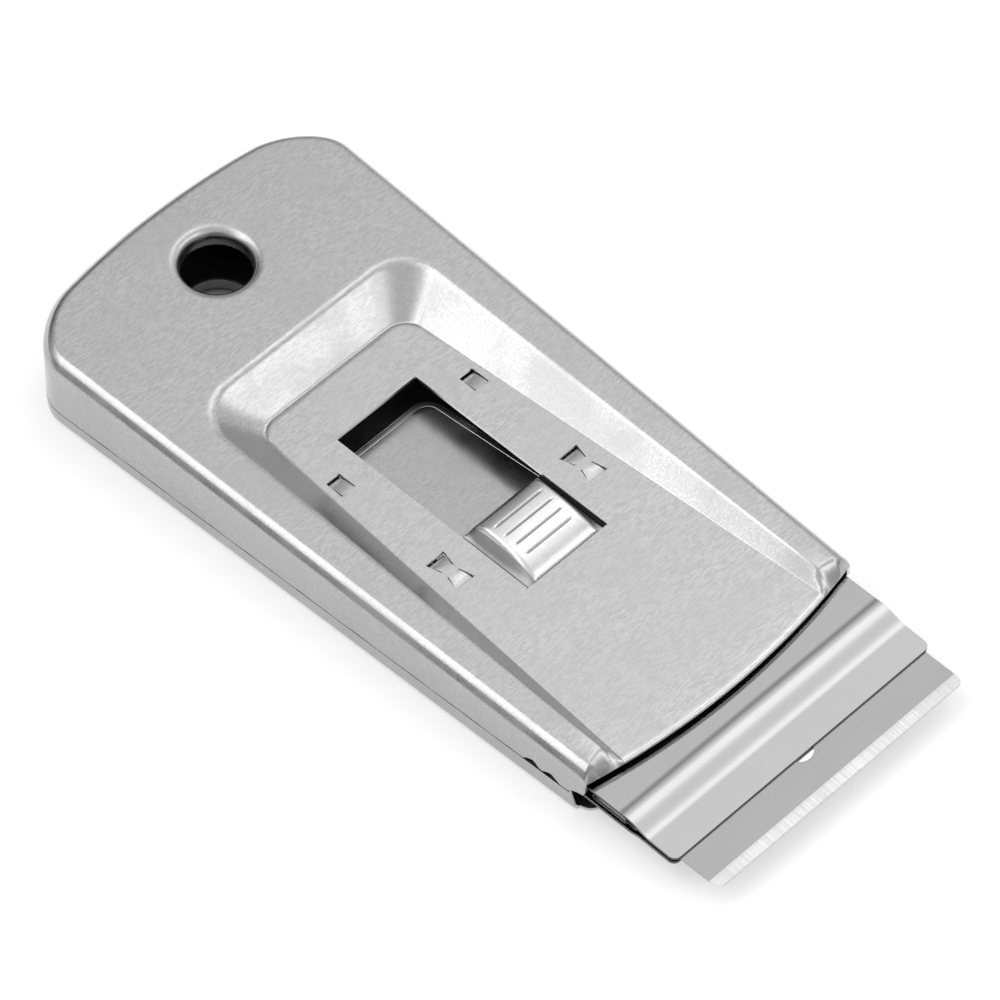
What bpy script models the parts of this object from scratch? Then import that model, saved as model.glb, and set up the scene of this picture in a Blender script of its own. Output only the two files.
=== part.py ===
"""Retractable razor blade scraper: two nested sheet-metal shells, a sliding blade holder, a sprung
thumb button and a single-edge blade, shown with the blade out.

World axes: +X towards the cutting edge, +Y to the far side, +Z up. The origin is on the flat
underside, in the middle of the overall length and width. Lengths are in metres.
"""

import math

import bmesh
import bpy
from mathutils import Matrix, Vector

MM = 0.001

# Sheet metal and running gaps
SHEET = 0.4 * MM
PLATE = 0.35 * MM
FIT = 0.1 * MM
SLIDE_GAP = 0.2 * MM

# Single-edge blade and its folded spine
BLADE_WIDTH = 39.0 * MM
BLADE_DEPTH = 19.0 * MM
BLADE_THICKNESS = 0.23 * MM
EDGE_THICKNESS = 0.03 * MM
BEVEL_LENGTH = 1.5 * MM
BLADE_CORNER_RADIUS = 1.0 * MM
BLADE_HOLE_DIAMETER = 3.3 * MM
BLADE_HOLE_TO_EDGE = 6.6 * MM
SPINE_LENGTH = 5.0 * MM
SPINE_THICKNESS = 0.9 * MM
SPINE_SHEET = 0.25 * MM

# Blade holder: clamp plate above, base plate below, two shouldered rivets
HOLDER_MARGIN = 0.85 * MM
BLADE_EXPOSURE = 5.8 * MM
LIP_REACH = 10.55 * MM
JOGGLE_CLEARANCE = 0.95 * MM
JOGGLE_LENGTH = 3.7 * MM
BASE_JOGGLE_LENGTH = 2.0 * MM
SPINE_HEADROOM = 0.6 * MM
LIP_CORNER = 0.9 * MM
HOLDER_TUCK = 0.8 * MM
TAIL_CORNER = 2.5 * MM
RIVET_SETBACK = 6.5 * MM
RIVET_INSET = 5.75 * MM
RIVET_DIAMETER = 2.4 * MM
RIVET_HEAD_DIAMETER = 3.6 * MM
RIVET_HEAD_HEIGHT = 0.3 * MM

# Body plan
BODY_LENGTH = 91.6 * MM
BODY_TAPER = 2.5 * MM
SIDE_CLEARANCE = 0.2 * MM
REAR_CORNER_RADIUS = 8.8 * MM
REAR_BOW_RADIUS = 95.0 * MM
FRONT_ARC_RADIUS = 98.0 * MM
EDGE_RADIUS = 2.0 * MM
BOTTOM_EDGE_RADIUS = 0.8 * MM

# Body heights
BUTTON_ROOM = 1.0 * MM
BORDER_RISE_REAR = 4.6 * MM
BORDER_RISE_FRONT = 1.5 * MM
SEAM_HEIGHT_REAR = 2.15 * MM
SEAM_HEIGHT_FRONT = 2.85 * MM
SEAM_GAP = 0.15 * MM
SKIRT_CUT_LENGTH = 3.0 * MM
SKIRT_CUT_RISE = 2.3 * MM

# Sunk panel of the top shell
WINDOW_LENGTH = 30.0 * MM
WINDOW_WIDTH = 12.6 * MM
WINDOW_SETBACK = 25.3 * MM
PANEL_MARGIN_REAR = 6.7 * MM
PANEL_MARGIN_SIDE = 5.0 * MM
PANEL_CORNER_RADIUS = 2.2 * MM
PANEL_WALL_RUN_REAR = 5.9 * MM
PANEL_WALL_RUN_FRONT = 1.7 * MM
TROUGH_DEPTH = 0.2 * MM
TROUGH_RUN = 0.5 * MM
CURL_DROP = 0.35 * MM
BORDER_WIDTH = 3.65 * MM
CREST_CORNER_RADIUS = 5.5 * MM
CREST_ROUNDING = 0.35
FOOT_ROUNDING = 0.2
FLARE_LENGTH = 2.4 * MM
FLARE_LENGTH_OUTER = 0.4 * MM

# Sheared lances that steady the holder
LANCE_LENGTH = 4.9 * MM
LANCE_WIDTH = 2.9 * MM
LANCE_WAIST = 2.1 * MM
LANCE_GAP = 2.8 * MM
LANCE_DROP = 0.5 * MM
LANCE_SETBACK = 5.4 * MM
TAB_LENGTH = 2.6 * MM
TAB_WIDTH = 2.1 * MM
TAB_GAP = 3.2 * MM
TAB_SETBACK = 3.7 * MM
SHEAR_SLOT = 0.15 * MM

# Hang hole
HOLE_DIAMETER = 8.4 * MM
HOLE_SETBACK = 10.85 * MM
HOLE_LIP_RADIUS = 1.2 * MM
HOLE_COLLAR_DEPTH = 2.2 * MM

# Bottom shell
PLATFORM_HEIGHT = 2.5 * MM
PLATFORM_SETBACK = 1.35 * MM
PLATFORM_HALF_REAR = 6.75 * MM
PLATFORM_HALF_FRONT = 10.8 * MM
PLATFORM_CORNER_RADIUS = 1.6 * MM
PLATFORM_WALL_RUN = 2.1 * MM
NEST_HEIGHT = 1.6 * MM
NEST_END = 19.2 * MM
WALL_END = 4.7 * MM
WALL_SLANT = 1.0 * MM
BOTTOM_SETBACK = 0.3 * MM
BOTTOM_CORNER_RADIUS = 1.7 * MM

# Thumb button and its spring
BUTTON_LENGTH = 10.2 * MM
BUTTON_CROWN = 2.1 * MM
BUTTON_TOP_HALF = 4.3 * MM
BUTTON_SIDE_GAP = 0.4 * MM
WING_OVERLAP = 1.9 * MM
GROOVE_COUNT = 4
GROOVE_PITCH = 1.58 * MM
GROOVE_WIDTH = 0.55 * MM
GROOVE_DEPTH = 0.28 * MM
GROOVE_HALF_LENGTH = 3.7 * MM
LEG_LENGTH = 4.0 * MM
LEG_REACH = 0.6 * MM
LEG_CLEARANCE = 0.15 * MM
SPRING_SHEET = 0.25 * MM
SPRING_WIDTH = 4.0 * MM
SPRING_ARCH_HALF = 4.5 * MM
SPRING_FOOT = 0.9 * MM

# Segment counts of the curved stretches
CORNER_STEPS = 8
EDGE_STEPS = 5
CREST_STEPS = 4
FOOT_STEPS = 2
REAR_STEPS = 4
SIDE_STEPS = 4
FRONT_STEPS = 10
HOLE_STEPS = 40
BEND_STEPS = 8
TONGUE_STEPS = 4
RIVET_STEPS = 24
SMOOTH_ANGLE = math.radians(25)

# Positions along the scraper, from the middle of the overall length
OVERALL_LENGTH = BODY_LENGTH + LIP_REACH + BLADE_EXPOSURE
REAR = -OVERALL_LENGTH / 2
FRONT = REAR + BODY_LENGTH
LIP_FRONT = FRONT + LIP_REACH
BLADE_EDGE = LIP_FRONT + BLADE_EXPOSURE
SPINE_REAR = BLADE_EDGE - BLADE_DEPTH
JOGGLE_REAR = SPINE_REAR + SPINE_LENGTH + JOGGLE_CLEARANCE
WINDOW_FRONT = FRONT - WINDOW_SETBACK
WINDOW_REAR = WINDOW_FRONT - WINDOW_LENGTH
BUTTON_FRONT = WINDOW_FRONT - SLIDE_GAP
BUTTON_REAR = BUTTON_FRONT - BUTTON_LENGTH
BUTTON_MIDDLE = (BUTTON_FRONT + BUTTON_REAR) / 2
HOLDER_REAR = BUTTON_REAR + HOLDER_TUCK
RIVET_X = BUTTON_FRONT + RIVET_SETBACK
PANEL_REAR = WINDOW_REAR - PANEL_MARGIN_REAR
CREST_REAR = PANEL_REAR - PANEL_WALL_RUN_REAR
PLATFORM_REAR = WINDOW_REAR + PLATFORM_SETBACK
HOLE_X = REAR + HOLE_SETBACK

# Half widths
HOLDER_HALF = BLADE_WIDTH / 2 + HOLDER_MARGIN
BODY_HALF_FRONT = HOLDER_HALF + SIDE_CLEARANCE + SHEET
BODY_HALF_REAR = BODY_HALF_FRONT + BODY_TAPER
CREST_HALF = BODY_HALF_FRONT - BORDER_WIDTH
WINDOW_HALF = WINDOW_WIDTH / 2
PANEL_HALF_REAR = WINDOW_HALF + PANEL_MARGIN_SIDE
PANEL_HALF_FRONT = CREST_HALF - PANEL_WALL_RUN_FRONT
BUTTON_HALF = WINDOW_HALF - BUTTON_SIDE_GAP
WING_HALF = WINDOW_HALF + WING_OVERLAP

# Heights, stacked from the flat underside
BASE_TOP = PLATFORM_HEIGHT + SLIDE_GAP + PLATE
SPINE_BOTTOM = BASE_TOP + FIT
SPINE_TOP = SPINE_BOTTOM + SPINE_THICKNESS
BLADE_MIDDLE = (SPINE_BOTTOM + SPINE_TOP) / 2
BLADE_TOP = BLADE_MIDDLE + BLADE_THICKNESS / 2
BLADE_BOTTOM = BLADE_MIDDLE - BLADE_THICKNESS / 2
BASE_LIP_TOP = BLADE_BOTTOM - FIT
LIP_TOP = BLADE_TOP + FIT + PLATE
CLAMP_BOTTOM = SPINE_TOP + SPINE_HEADROOM
CLAMP_TOP = CLAMP_BOTTOM + PLATE
PANEL_TOP = CLAMP_TOP + BUTTON_ROOM + SHEET
WING_TOP = PANEL_TOP - SHEET - FIT
TROUGH_LEVEL = PANEL_TOP - TROUGH_DEPTH
FRONT_LEVEL = PANEL_TOP - CURL_DROP
LANCE_DEPTH = min(LANCE_DROP, PANEL_TOP - SHEET - CLAMP_TOP - SLIDE_GAP)

POLISHED = ("polished_plate", (0.72, 0.72, 0.73), 0.16)
SATIN = ("satin_shell", (0.62, 0.62, 0.63), 0.34)
SATIN_INNER = ("satin_tray", (0.56, 0.56, 0.57), 0.38)
BUTTON_METAL = ("bright_button", (0.70, 0.70, 0.71), 0.22)
BLADE_STEEL = ("blade_steel", (0.52, 0.52, 0.52), 0.24)
SPINE_METAL = ("spine_steel", (0.58, 0.58, 0.58), 0.35)
RIVET_METAL = ("rivet_steel", (0.50, 0.50, 0.50), 0.40)
SPRING_METAL = ("spring_steel", (0.40, 0.41, 0.43), 0.30)


def clear_scene():
    """Removes whatever the new scene holds."""
    for item in list(bpy.data.objects):
        bpy.data.objects.remove(item, do_unlink=True)


def collection(name):
    """A new collection in the scene."""
    group = bpy.data.collections.new(name)
    bpy.context.scene.collection.children.link(group)
    return group


def metal(finish):
    """A metal from its name, colour and roughness."""
    name, colour, roughness = finish
    material = bpy.data.materials.new(name)
    material.use_nodes = True
    shader = material.node_tree.nodes["Principled BSDF"]
    shader.inputs["Base Color"].default_value = (*colour, 1.0)
    shader.inputs["Roughness"].default_value = roughness
    shader.inputs["Metallic"].default_value = 1.0
    material.diffuse_color = (*colour, 1.0)
    return material


def lerp(a, b, share):
    """The value a share of the way from a to b."""
    return a + (b - a) * share


def share_along(x, start, end):
    """How far x lies from start to end, as a share."""
    return (x - start) / (end - start)


def body_half(x):
    """Half width of the body at x."""
    return lerp(BODY_HALF_REAR, BODY_HALF_FRONT, share_along(x, REAR, FRONT))


def border_height(x):
    """Height of the sloping top border at x."""
    rise = lerp(BORDER_RISE_REAR, BORDER_RISE_FRONT, share_along(x, REAR, FRONT))
    return PANEL_TOP + rise


def seam_height(x):
    """Height of the lower edge of the top shell's skirt at x."""
    return lerp(SEAM_HEIGHT_REAR, SEAM_HEIGHT_FRONT, share_along(x, REAR, FRONT))


def front_edge(y, setback=0.0):
    """Where the arched front edge lies at y."""
    sagitta = FRONT_ARC_RADIUS - math.sqrt(FRONT_ARC_RADIUS**2 - y**2)
    return FRONT - setback - sagitta


def trough_plan(rear, half_at, radius, ends, bow_radius=None):
    """A plan open at the front: near side, rear corner, rear edge, far corner and far side.

    half_at gives the half width at x, which changes steadily. ends lists where the side's points
    lie, from the front back to the last one before the rear corner.
    """
    centre_x = rear + radius
    slope = half_at(centre_x) - half_at(centre_x - radius)
    lean = math.atan2(-slope, radius)
    centre_y = half_at(centre_x) - radius / math.cos(lean)
    far = []
    for step in range(REAR_STEPS + 1):
        far.append((rear, centre_y * step / REAR_STEPS, 1.0))
    for step in range(1, CORNER_STEPS + 1):
        angle = lerp(math.pi, math.pi / 2 - lean, step / CORNER_STEPS)
        x = centre_x + radius * math.cos(angle)
        far.append((x, centre_y + radius * math.sin(angle), max(0.0, -math.cos(angle))))
    for x in reversed(ends):
        far.append((x, half_at(x), 0.0))
    points = []
    for x, y, rear_share in far:
        bow = y**2 / (2 * bow_radius) * rear_share if bow_radius else 0.0
        points.append((x + bow, y))
    near = [(x, -y) for x, y in reversed(points[1:])]
    return near + points


def side_stations(rear, radius, first, count=SIDE_STEPS):
    """Points along a straight side, from first back to just before the rear corner."""
    last = rear + radius
    return [lerp(first, last, step / count) for step in range(count)]


def add_ring(bm, plan, height):
    """Vertices over a plan at the height that a function gives for each point."""
    return [bm.verts.new((x, y, height(x, y))) for x, y in plan]


def bridge(bm, first, second, skip=0):
    """Faces between two open rows of vertices, but for skip steps at each end."""
    for i in range(skip, len(first) - 1 - skip):
        bm.faces.new((first[i], first[i + 1], second[i + 1], second[i]))


def bridge_loop(bm, first, second):
    """Faces between two closed rows of vertices."""
    count = len(first)
    for i in range(count):
        after = (i + 1) % count
        bm.faces.new((first[i], first[after], second[after], second[i]))


def row_edges(bm, row, closed=False):
    """The edges along a row of vertices, made where they are missing."""
    pairs = list(zip(row, row[1:]))
    if closed:
        pairs.append((row[-1], row[0]))
    edges = []
    for a, b in pairs:
        edges.append(bm.edges.get((a, b)) or bm.edges.new((a, b)))
    return edges


def fill_flat(bm, rows, loops=()):
    """Triangles over the flat region that open rows and closed loops bound together."""
    edges = []
    for row in rows:
        edges += row_edges(bm, row)
    for loop in loops:
        edges += row_edges(bm, loop, closed=True)
    bmesh.ops.triangle_fill(bm, use_beauty=True, edges=list(dict.fromkeys(edges)), normal=(0, 0, 1))


def circle_ring(bm, x, radius, height):
    """A closed ring of vertices around the upright line at x."""
    ring = []
    for step in range(HOLE_STEPS):
        angle = 2 * math.pi * step / HOLE_STEPS
        px = x + radius * math.cos(angle)
        ring.append(bm.verts.new((px, radius * math.sin(angle), height(px))))
    return ring


def hole_collar(bm, height, direction, depth):
    """A flared collar round the hang hole. height gives the sheet's level at x; direction is -1 down."""
    radius = HOLE_DIAMETER / 2
    outer = circle_ring(bm, HOLE_X, radius + HOLE_LIP_RADIUS, height)
    previous = outer
    for step in range(1, EDGE_STEPS + 1):
        angle = math.pi / 2 * step / EDGE_STEPS
        drop = direction * HOLE_LIP_RADIUS * (1 - math.cos(angle))
        reach = radius + HOLE_LIP_RADIUS * (1 - math.sin(angle))
        ring = circle_ring(bm, HOLE_X, reach, lambda x, drop=drop: height(x) + drop)
        bridge_loop(bm, previous, ring)
        previous = ring
    end = circle_ring(bm, HOLE_X, radius, lambda x: height(x) + direction * depth)
    bridge_loop(bm, previous, end)
    return outer


def tongue(bm, root, root_x, tip_x, depth):
    """A strip that bends down from its root vertices to its tip at tip_x."""
    previous = root
    for step in range(1, TONGUE_STEPS + 1):
        share = step / TONGUE_STEPS
        x = lerp(root_x, tip_x, share)
        row = [bm.verts.new((x, v.co.y, PANEL_TOP - depth * share**2)) for v in root]
        bridge(bm, previous, row)
        previous = row


def front_lance(bm, side):
    """A bow-tie lance: its waist stays level with the panel and both ends are pressed down."""
    front = WINDOW_FRONT - LANCE_SETBACK
    rear = front - LANCE_LENGTH
    waist_rear = (front + rear - LANCE_WAIST) / 2
    waist_front = (front + rear + LANCE_WAIST) / 2
    inner = WINDOW_HALF + LANCE_GAP
    outer = inner + LANCE_WIDTH
    levels = [side * y for y in (inner, inner + SHEAR_SLOT, outer - SHEAR_SLOT, outer)]
    rear_row = [bm.verts.new((waist_rear, y, PANEL_TOP)) for y in levels]
    front_row = [bm.verts.new((waist_front, y, PANEL_TOP)) for y in levels]
    bridge(bm, rear_row, front_row)
    tongue(bm, rear_row[1:3], waist_rear, rear + SHEAR_SLOT, LANCE_DEPTH)
    tongue(bm, front_row[1:3], waist_front, front - SHEAR_SLOT, LANCE_DEPTH)
    corners = [
        bm.verts.new((x, side * y, PANEL_TOP))
        for x, y in ((rear, inner), (front, inner), (front, outer), (rear, outer))
    ]
    return [
        corners[0], rear_row[0], front_row[0], corners[1],
        corners[2], front_row[3], rear_row[3], corners[3],
    ]


def rear_tab(bm, side):
    """A tab sheared on three sides, pressed down at its rear end."""
    rear = WINDOW_REAR + TAB_SETBACK
    front = rear + TAB_LENGTH
    inner = WINDOW_HALF + TAB_GAP
    outer = inner + TAB_WIDTH
    levels = (inner, inner + SHEAR_SLOT, outer - SHEAR_SLOT, outer)
    root = [bm.verts.new((front, side * y, PANEL_TOP)) for y in levels]
    tongue(bm, root[1:3], front, rear + SHEAR_SLOT, LANCE_DEPTH)
    corners = [bm.verts.new((rear, side * y, PANEL_TOP)) for y in (outer, inner)]
    return root + corners


def window_loop(bm):
    """The window's four corners."""
    corners = (
        (WINDOW_REAR, -WINDOW_HALF),
        (WINDOW_FRONT, -WINDOW_HALF),
        (WINDOW_FRONT, WINDOW_HALF),
        (WINDOW_REAR, WINDOW_HALF),
    )
    return [bm.verts.new((x, y, PANEL_TOP)) for x, y in corners]


def front_row(bm, near, far, height, setback=0.0, steps=FRONT_STEPS):
    """Vertices along the arched front edge between two that are there already."""
    row = [near]
    for step in range(1, steps):
        y = lerp(near.co.y, far.co.y, step / steps)
        row.append(bm.verts.new((front_edge(y, setback), y, height)))
    return row + [far]


def settle_front(half_at, setback=0.0):
    """Where a side that narrows towards the front meets the arched front edge."""
    x = FRONT
    for _ in range(4):
        x = front_edge(half_at(x), setback)
    return x


def wall_fall(share):
    """How far the panel's wall has fallen at a share of its run, rounded at its crest and foot."""
    steepness = 1 / (1 - CREST_ROUNDING / 2 - FOOT_ROUNDING / 2)
    if share < CREST_ROUNDING:
        return steepness * share**2 / (2 * CREST_ROUNDING)
    if share > 1 - FOOT_ROUNDING:
        return 1 - steepness * (1 - share) ** 2 / (2 * FOOT_ROUNDING)
    return steepness * (share - CREST_ROUNDING / 2)


def top_shell(bm):
    """Skin of the pressed cover, as its outer surface."""

    def flare_length(half):
        share = share_along(half, BODY_HALF_FRONT, CREST_HALF)
        return lerp(FLARE_LENGTH_OUTER, FLARE_LENGTH, min(1.0, max(0.0, share)))

    def body_plan(inset):
        rear = REAR + inset
        radius = REAR_CORNER_RADIUS - inset
        front = settle_front(lambda x: body_half(x) - inset)
        flare = front - flare_length(body_half(front) - inset)
        cut = front - SKIRT_CUT_LENGTH
        ends = [front, flare] + side_stations(rear, radius, cut)
        return trough_plan(rear, lambda x: body_half(x) - inset, radius, ends, REAR_BOW_RADIUS)

    def top_ring(plan, drop):
        ring = add_ring(bm, plan, lambda x, y: border_height(x) - drop)
        for end in (ring[0], ring[-1]):
            end.co.z = FRONT_LEVEL
        return ring

    cut_front = settle_front(body_half)

    def skirt_edge(x, y):
        rise = SKIRT_CUT_RISE * max(0.0, 1 - (cut_front - x) / SKIRT_CUT_LENGTH)
        return seam_height(x) + rise

    previous = add_ring(bm, body_plan(0.0), skirt_edge)
    for step in range(EDGE_STEPS + 1):
        angle = math.pi / 2 * step / EDGE_STEPS
        inset = EDGE_RADIUS * (1 - math.cos(angle))
        ring = top_ring(body_plan(inset), EDGE_RADIUS * (1 - math.sin(angle)))
        bridge(bm, previous, ring)
        previous = ring
    border = previous

    crest_front = front_edge(CREST_HALF)
    crest_ends = [crest_front] + side_stations(
        CREST_REAR, CREST_CORNER_RADIUS, crest_front - FLARE_LENGTH
    )
    crest_plan = trough_plan(CREST_REAR, lambda x: CREST_HALF, CREST_CORNER_RADIUS, crest_ends)

    def panel_plan(run):
        def half_at(x):
            share = share_along(x, PANEL_REAR, FRONT)
            return lerp(PANEL_HALF_REAR, PANEL_HALF_FRONT, share) + run

        front = settle_front(half_at)
        rear = PANEL_REAR - run
        radius = PANEL_CORNER_RADIUS + run
        ends = [front] + side_stations(rear, radius, front - FLARE_LENGTH)
        return trough_plan(rear, half_at, radius, ends)

    def settle_ends(ring):
        for end in (ring[0], ring[-1]):
            end.co.x = front_edge(end.co.y)
            end.co.z = FRONT_LEVEL

    foot_plan = panel_plan(TROUGH_RUN)

    shares = [CREST_ROUNDING * step / CREST_STEPS for step in range(CREST_STEPS + 1)]
    shares += [1 - FOOT_ROUNDING * (1 - step / FOOT_STEPS) for step in range(FOOT_STEPS + 1)]
    crest = None
    for share in shares:
        fall = wall_fall(share)
        plan = [
            (lerp(a[0], b[0], share), lerp(a[1], b[1], share))
            for a, b in zip(crest_plan, foot_plan)
        ]
        ring = add_ring(bm, plan, lambda x, y: lerp(border_height(x), TROUGH_LEVEL, fall))
        settle_ends(ring)
        if crest is None:
            crest = ring
        else:
            bridge(bm, previous, ring)
        previous = ring
    panel = add_ring(bm, panel_plan(0.0), lambda x, y: PANEL_TOP)
    settle_ends(panel)
    bridge(bm, previous, panel)

    bridge(bm, border[:2], crest[:2])
    bridge(bm, border[-2:], crest[-2:])
    hole = hole_collar(bm, border_height, -1, HOLE_COLLAR_DEPTH)
    fill_flat(
        bm,
        [border[1:-1], crest[1:-1], [border[1], crest[1]], [border[-2], crest[-2]]],
        [hole],
    )
    loops = [window_loop(bm)]
    for side in (-1, 1):
        loops.append(front_lance(bm, side))
        loops.append(rear_tab(bm, side))
    front = front_row(bm, panel[0], panel[-1], FRONT_LEVEL)
    bend = front_row(bm, panel[1], panel[-2], PANEL_TOP, FLARE_LENGTH)
    bridge(bm, front, bend)
    fill_flat(bm, [panel[1:-1], bend], loops)


def bottom_shell(bm):
    """Skin of the tray, as its outer surface: nesting rim, side wall, floor and raised platform."""
    wall_end = FRONT - WALL_END

    def plan(inset, end):
        rear = REAR + inset
        radius = REAR_CORNER_RADIUS - inset
        ends = [end] + side_stations(rear, radius, FRONT - NEST_END)
        return trough_plan(rear, lambda x: body_half(x) - inset, radius, ends, REAR_BOW_RADIUS)

    nest = SHEET + FIT
    rim_top = add_ring(bm, plan(nest, wall_end), lambda x, y: seam_height(x) + NEST_HEIGHT)
    rim_root = add_ring(bm, plan(nest, wall_end), lambda x, y: seam_height(x) - SEAM_GAP)
    wall_top = add_ring(bm, plan(0.0, wall_end), lambda x, y: seam_height(x) - SEAM_GAP)
    bridge(bm, rim_top, rim_root, skip=1)
    bridge(bm, rim_root, wall_top, skip=1)
    for ring in (rim_top, rim_root):
        bm.verts.remove(ring[0])
        bm.verts.remove(ring[-1])

    previous = wall_top
    slant_height = seam_height(wall_end)
    for step in range(EDGE_STEPS + 1):
        angle = math.pi / 2 * step / EDGE_STEPS
        height = BOTTOM_EDGE_RADIUS * (1 - math.sin(angle))
        inset = BOTTOM_EDGE_RADIUS * (1 - math.cos(angle))
        end = wall_end + WALL_SLANT * (1 - height / slant_height)
        ring = add_ring(bm, plan(inset, end), lambda x, y, height=height: height)
        bridge(bm, previous, ring)
        previous = ring
    floor = previous

    def platform_half(x):
        return lerp(
            PLATFORM_HALF_REAR, PLATFORM_HALF_FRONT, share_along(x, PLATFORM_REAR, FRONT)
        )

    def platform_ring(run, height):
        rear = PLATFORM_REAR - run
        radius = PLATFORM_CORNER_RADIUS + run
        front = settle_front(lambda x: platform_half(x) + run, BOTTOM_SETBACK)
        ends = [front] + side_stations(rear, radius, front - FLARE_LENGTH)
        outline = trough_plan(rear, lambda x: platform_half(x) + run, radius, ends)
        return add_ring(bm, outline, lambda x, y: height)

    base = platform_ring(PLATFORM_WALL_RUN, 0.0)
    top = platform_ring(0.0, PLATFORM_HEIGHT - SHEET)
    bridge(bm, base, top)

    fronts = []
    for side, wall_foot, base_end in ((-1, floor[0], base[0]), (1, floor[-1], base[-1])):
        centre_y = abs(wall_foot.co.y) - BOTTOM_CORNER_RADIUS
        row = [wall_foot]
        corner_front = front_edge(centre_y, BOTTOM_SETBACK)
        for step in range(1, CORNER_STEPS + 1):
            angle = math.pi / 2 * step / CORNER_STEPS
            x = corner_front - BOTTOM_CORNER_RADIUS * (1 - math.sin(angle))
            y = side * (centre_y + BOTTOM_CORNER_RADIUS * math.cos(angle))
            if x > wall_foot.co.x + FIT:
                row.append(bm.verts.new((x, y, 0.0)))
        fronts.append(row[:-1] + front_row(bm, row[-1], base_end, 0.0, BOTTOM_SETBACK, SIDE_STEPS))
    hole = hole_collar(bm, lambda x: 0.0, 1, HOLE_COLLAR_DEPTH)
    fill_flat(bm, [floor, base] + fronts, [hole])
    fill_flat(
        bm, [top, front_row(bm, top[0], top[-1], PLATFORM_HEIGHT - SHEET, BOTTOM_SETBACK)]
    )


def rounded_end(length, half, radius, steps=CORNER_STEPS):
    """Distances back from an end and half widths there, for a plate end with rounded corners."""
    rows = []
    for step in range(steps + 1):
        angle = math.pi / 2 * step / steps
        rows.append((radius * (1 - math.cos(angle)), half - radius * (1 - math.sin(angle))))
    return [(back, width) for back, width in rows if back < length]


def plate_skin(bm, rear, front, joggle_rear, joggle_length, level, lip_level):
    """Upper surface of a holder plate: rounded tail, smooth step, lip with rounded corners."""
    stations = []
    for back, half in rounded_end(TAIL_CORNER * 2, HOLDER_HALF, TAIL_CORNER):
        stations.append((rear + back, half, level))
    for step in range(BEND_STEPS + 1):
        share = step / BEND_STEPS
        ease = (1 - math.cos(math.pi * share)) / 2
        x = joggle_rear + joggle_length * share
        stations.append((x, HOLDER_HALF, lerp(level, lip_level, ease)))
    for back, half in reversed(rounded_end(LIP_REACH, HOLDER_HALF, LIP_CORNER)):
        stations.append((front - back, half, lip_level))
    previous = None
    for x, half, z in stations:
        row = [bm.verts.new((x, -half, z)), bm.verts.new((x, half, z))]
        if previous:
            bridge(bm, previous, row)
        previous = row


def clamp_skin(bm):
    """Upper surface of the clamp plate."""
    plate_skin(bm, HOLDER_REAR, LIP_FRONT, JOGGLE_REAR, JOGGLE_LENGTH, CLAMP_TOP, LIP_TOP)


def base_skin(bm):
    """Upper surface of the base plate, which steps up to the blade just ahead of the spine."""
    plate_skin(
        bm, HOLDER_REAR, LIP_FRONT - FIT, JOGGLE_REAR, BASE_JOGGLE_LENGTH, BASE_TOP, BASE_LIP_TOP
    )


def dome_rise(x):
    """Height of the button's arch above its wings at x."""
    half = BUTTON_LENGTH / 2
    radius = (half**2 + BUTTON_CROWN**2) / (2 * BUTTON_CROWN)
    offset = x - BUTTON_MIDDLE
    return math.sqrt(radius**2 - offset**2) - (radius - BUTTON_CROWN)


def groove_middles():
    """Where the button's grooves lie along the scraper."""
    first = BUTTON_MIDDLE - GROOVE_PITCH * (GROOVE_COUNT - 1) / 2
    return [first + GROOVE_PITCH * i for i in range(GROOVE_COUNT)]


def button_skin(bm):
    """Outer surface of the button: grooved arch, sloping ends, flat wings and bent legs."""
    half_groove = GROOVE_WIDTH / 2
    marks = {BUTTON_REAR: 0.0, BUTTON_FRONT: 0.0}
    for middle in groove_middles():
        marks[middle - half_groove] = 0.0
        marks[middle] = 1.0
        marks[middle + half_groove] = 0.0
    leg_ends = (BUTTON_MIDDLE - LEG_LENGTH / 2, BUTTON_MIDDLE + LEG_LENGTH / 2)
    for step in range(1, BEND_STEPS):
        x = lerp(BUTTON_REAR, BUTTON_FRONT, step / BEND_STEPS)
        if all(abs(x - mark) > half_groove for mark in marks):
            marks[x] = 0.0
    for x in leg_ends:
        marks.setdefault(x, 0.0)
    xs = sorted(marks)

    slope_half = [
        (lerp(BUTTON_TOP_HALF, BUTTON_HALF, step / EDGE_STEPS), math.cos(math.pi / 2 * step / EDGE_STEPS))
        for step in range(EDGE_STEPS + 1)
    ]
    profile = [(0.0, 1.0, 1.0), (GROOVE_HALF_LENGTH - half_groove, 1.0, 1.0)]
    profile.append((GROOVE_HALF_LENGTH, 1.0, 0.0))
    profile += [(y, share, 0.0) for y, share in slope_half]
    profile.append((WING_HALF, 0.0, 0.0))
    profile = [(-y, rise, cut) for y, rise, cut in reversed(profile[1:])] + profile

    rows = []
    for y, rise, cut in profile:
        row = []
        for x in xs:
            z = WING_TOP + dome_rise(x) * rise - GROOVE_DEPTH * marks[x] * cut
            row.append(bm.verts.new((x, y, z)))
        rows.append(row)
    for first, second in zip(rows, rows[1:]):
        bridge(bm, first, second)
    leg_bottom = CLAMP_BOTTOM - LEG_REACH
    for row in (rows[0], rows[-1]):
        top = [v for v in row if leg_ends[0] - FIT / 2 <= v.co.x <= leg_ends[1] + FIT / 2]
        bottom = [bm.verts.new((v.co.x, v.co.y, leg_bottom)) for v in top]
        bridge(bm, top, bottom)


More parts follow.
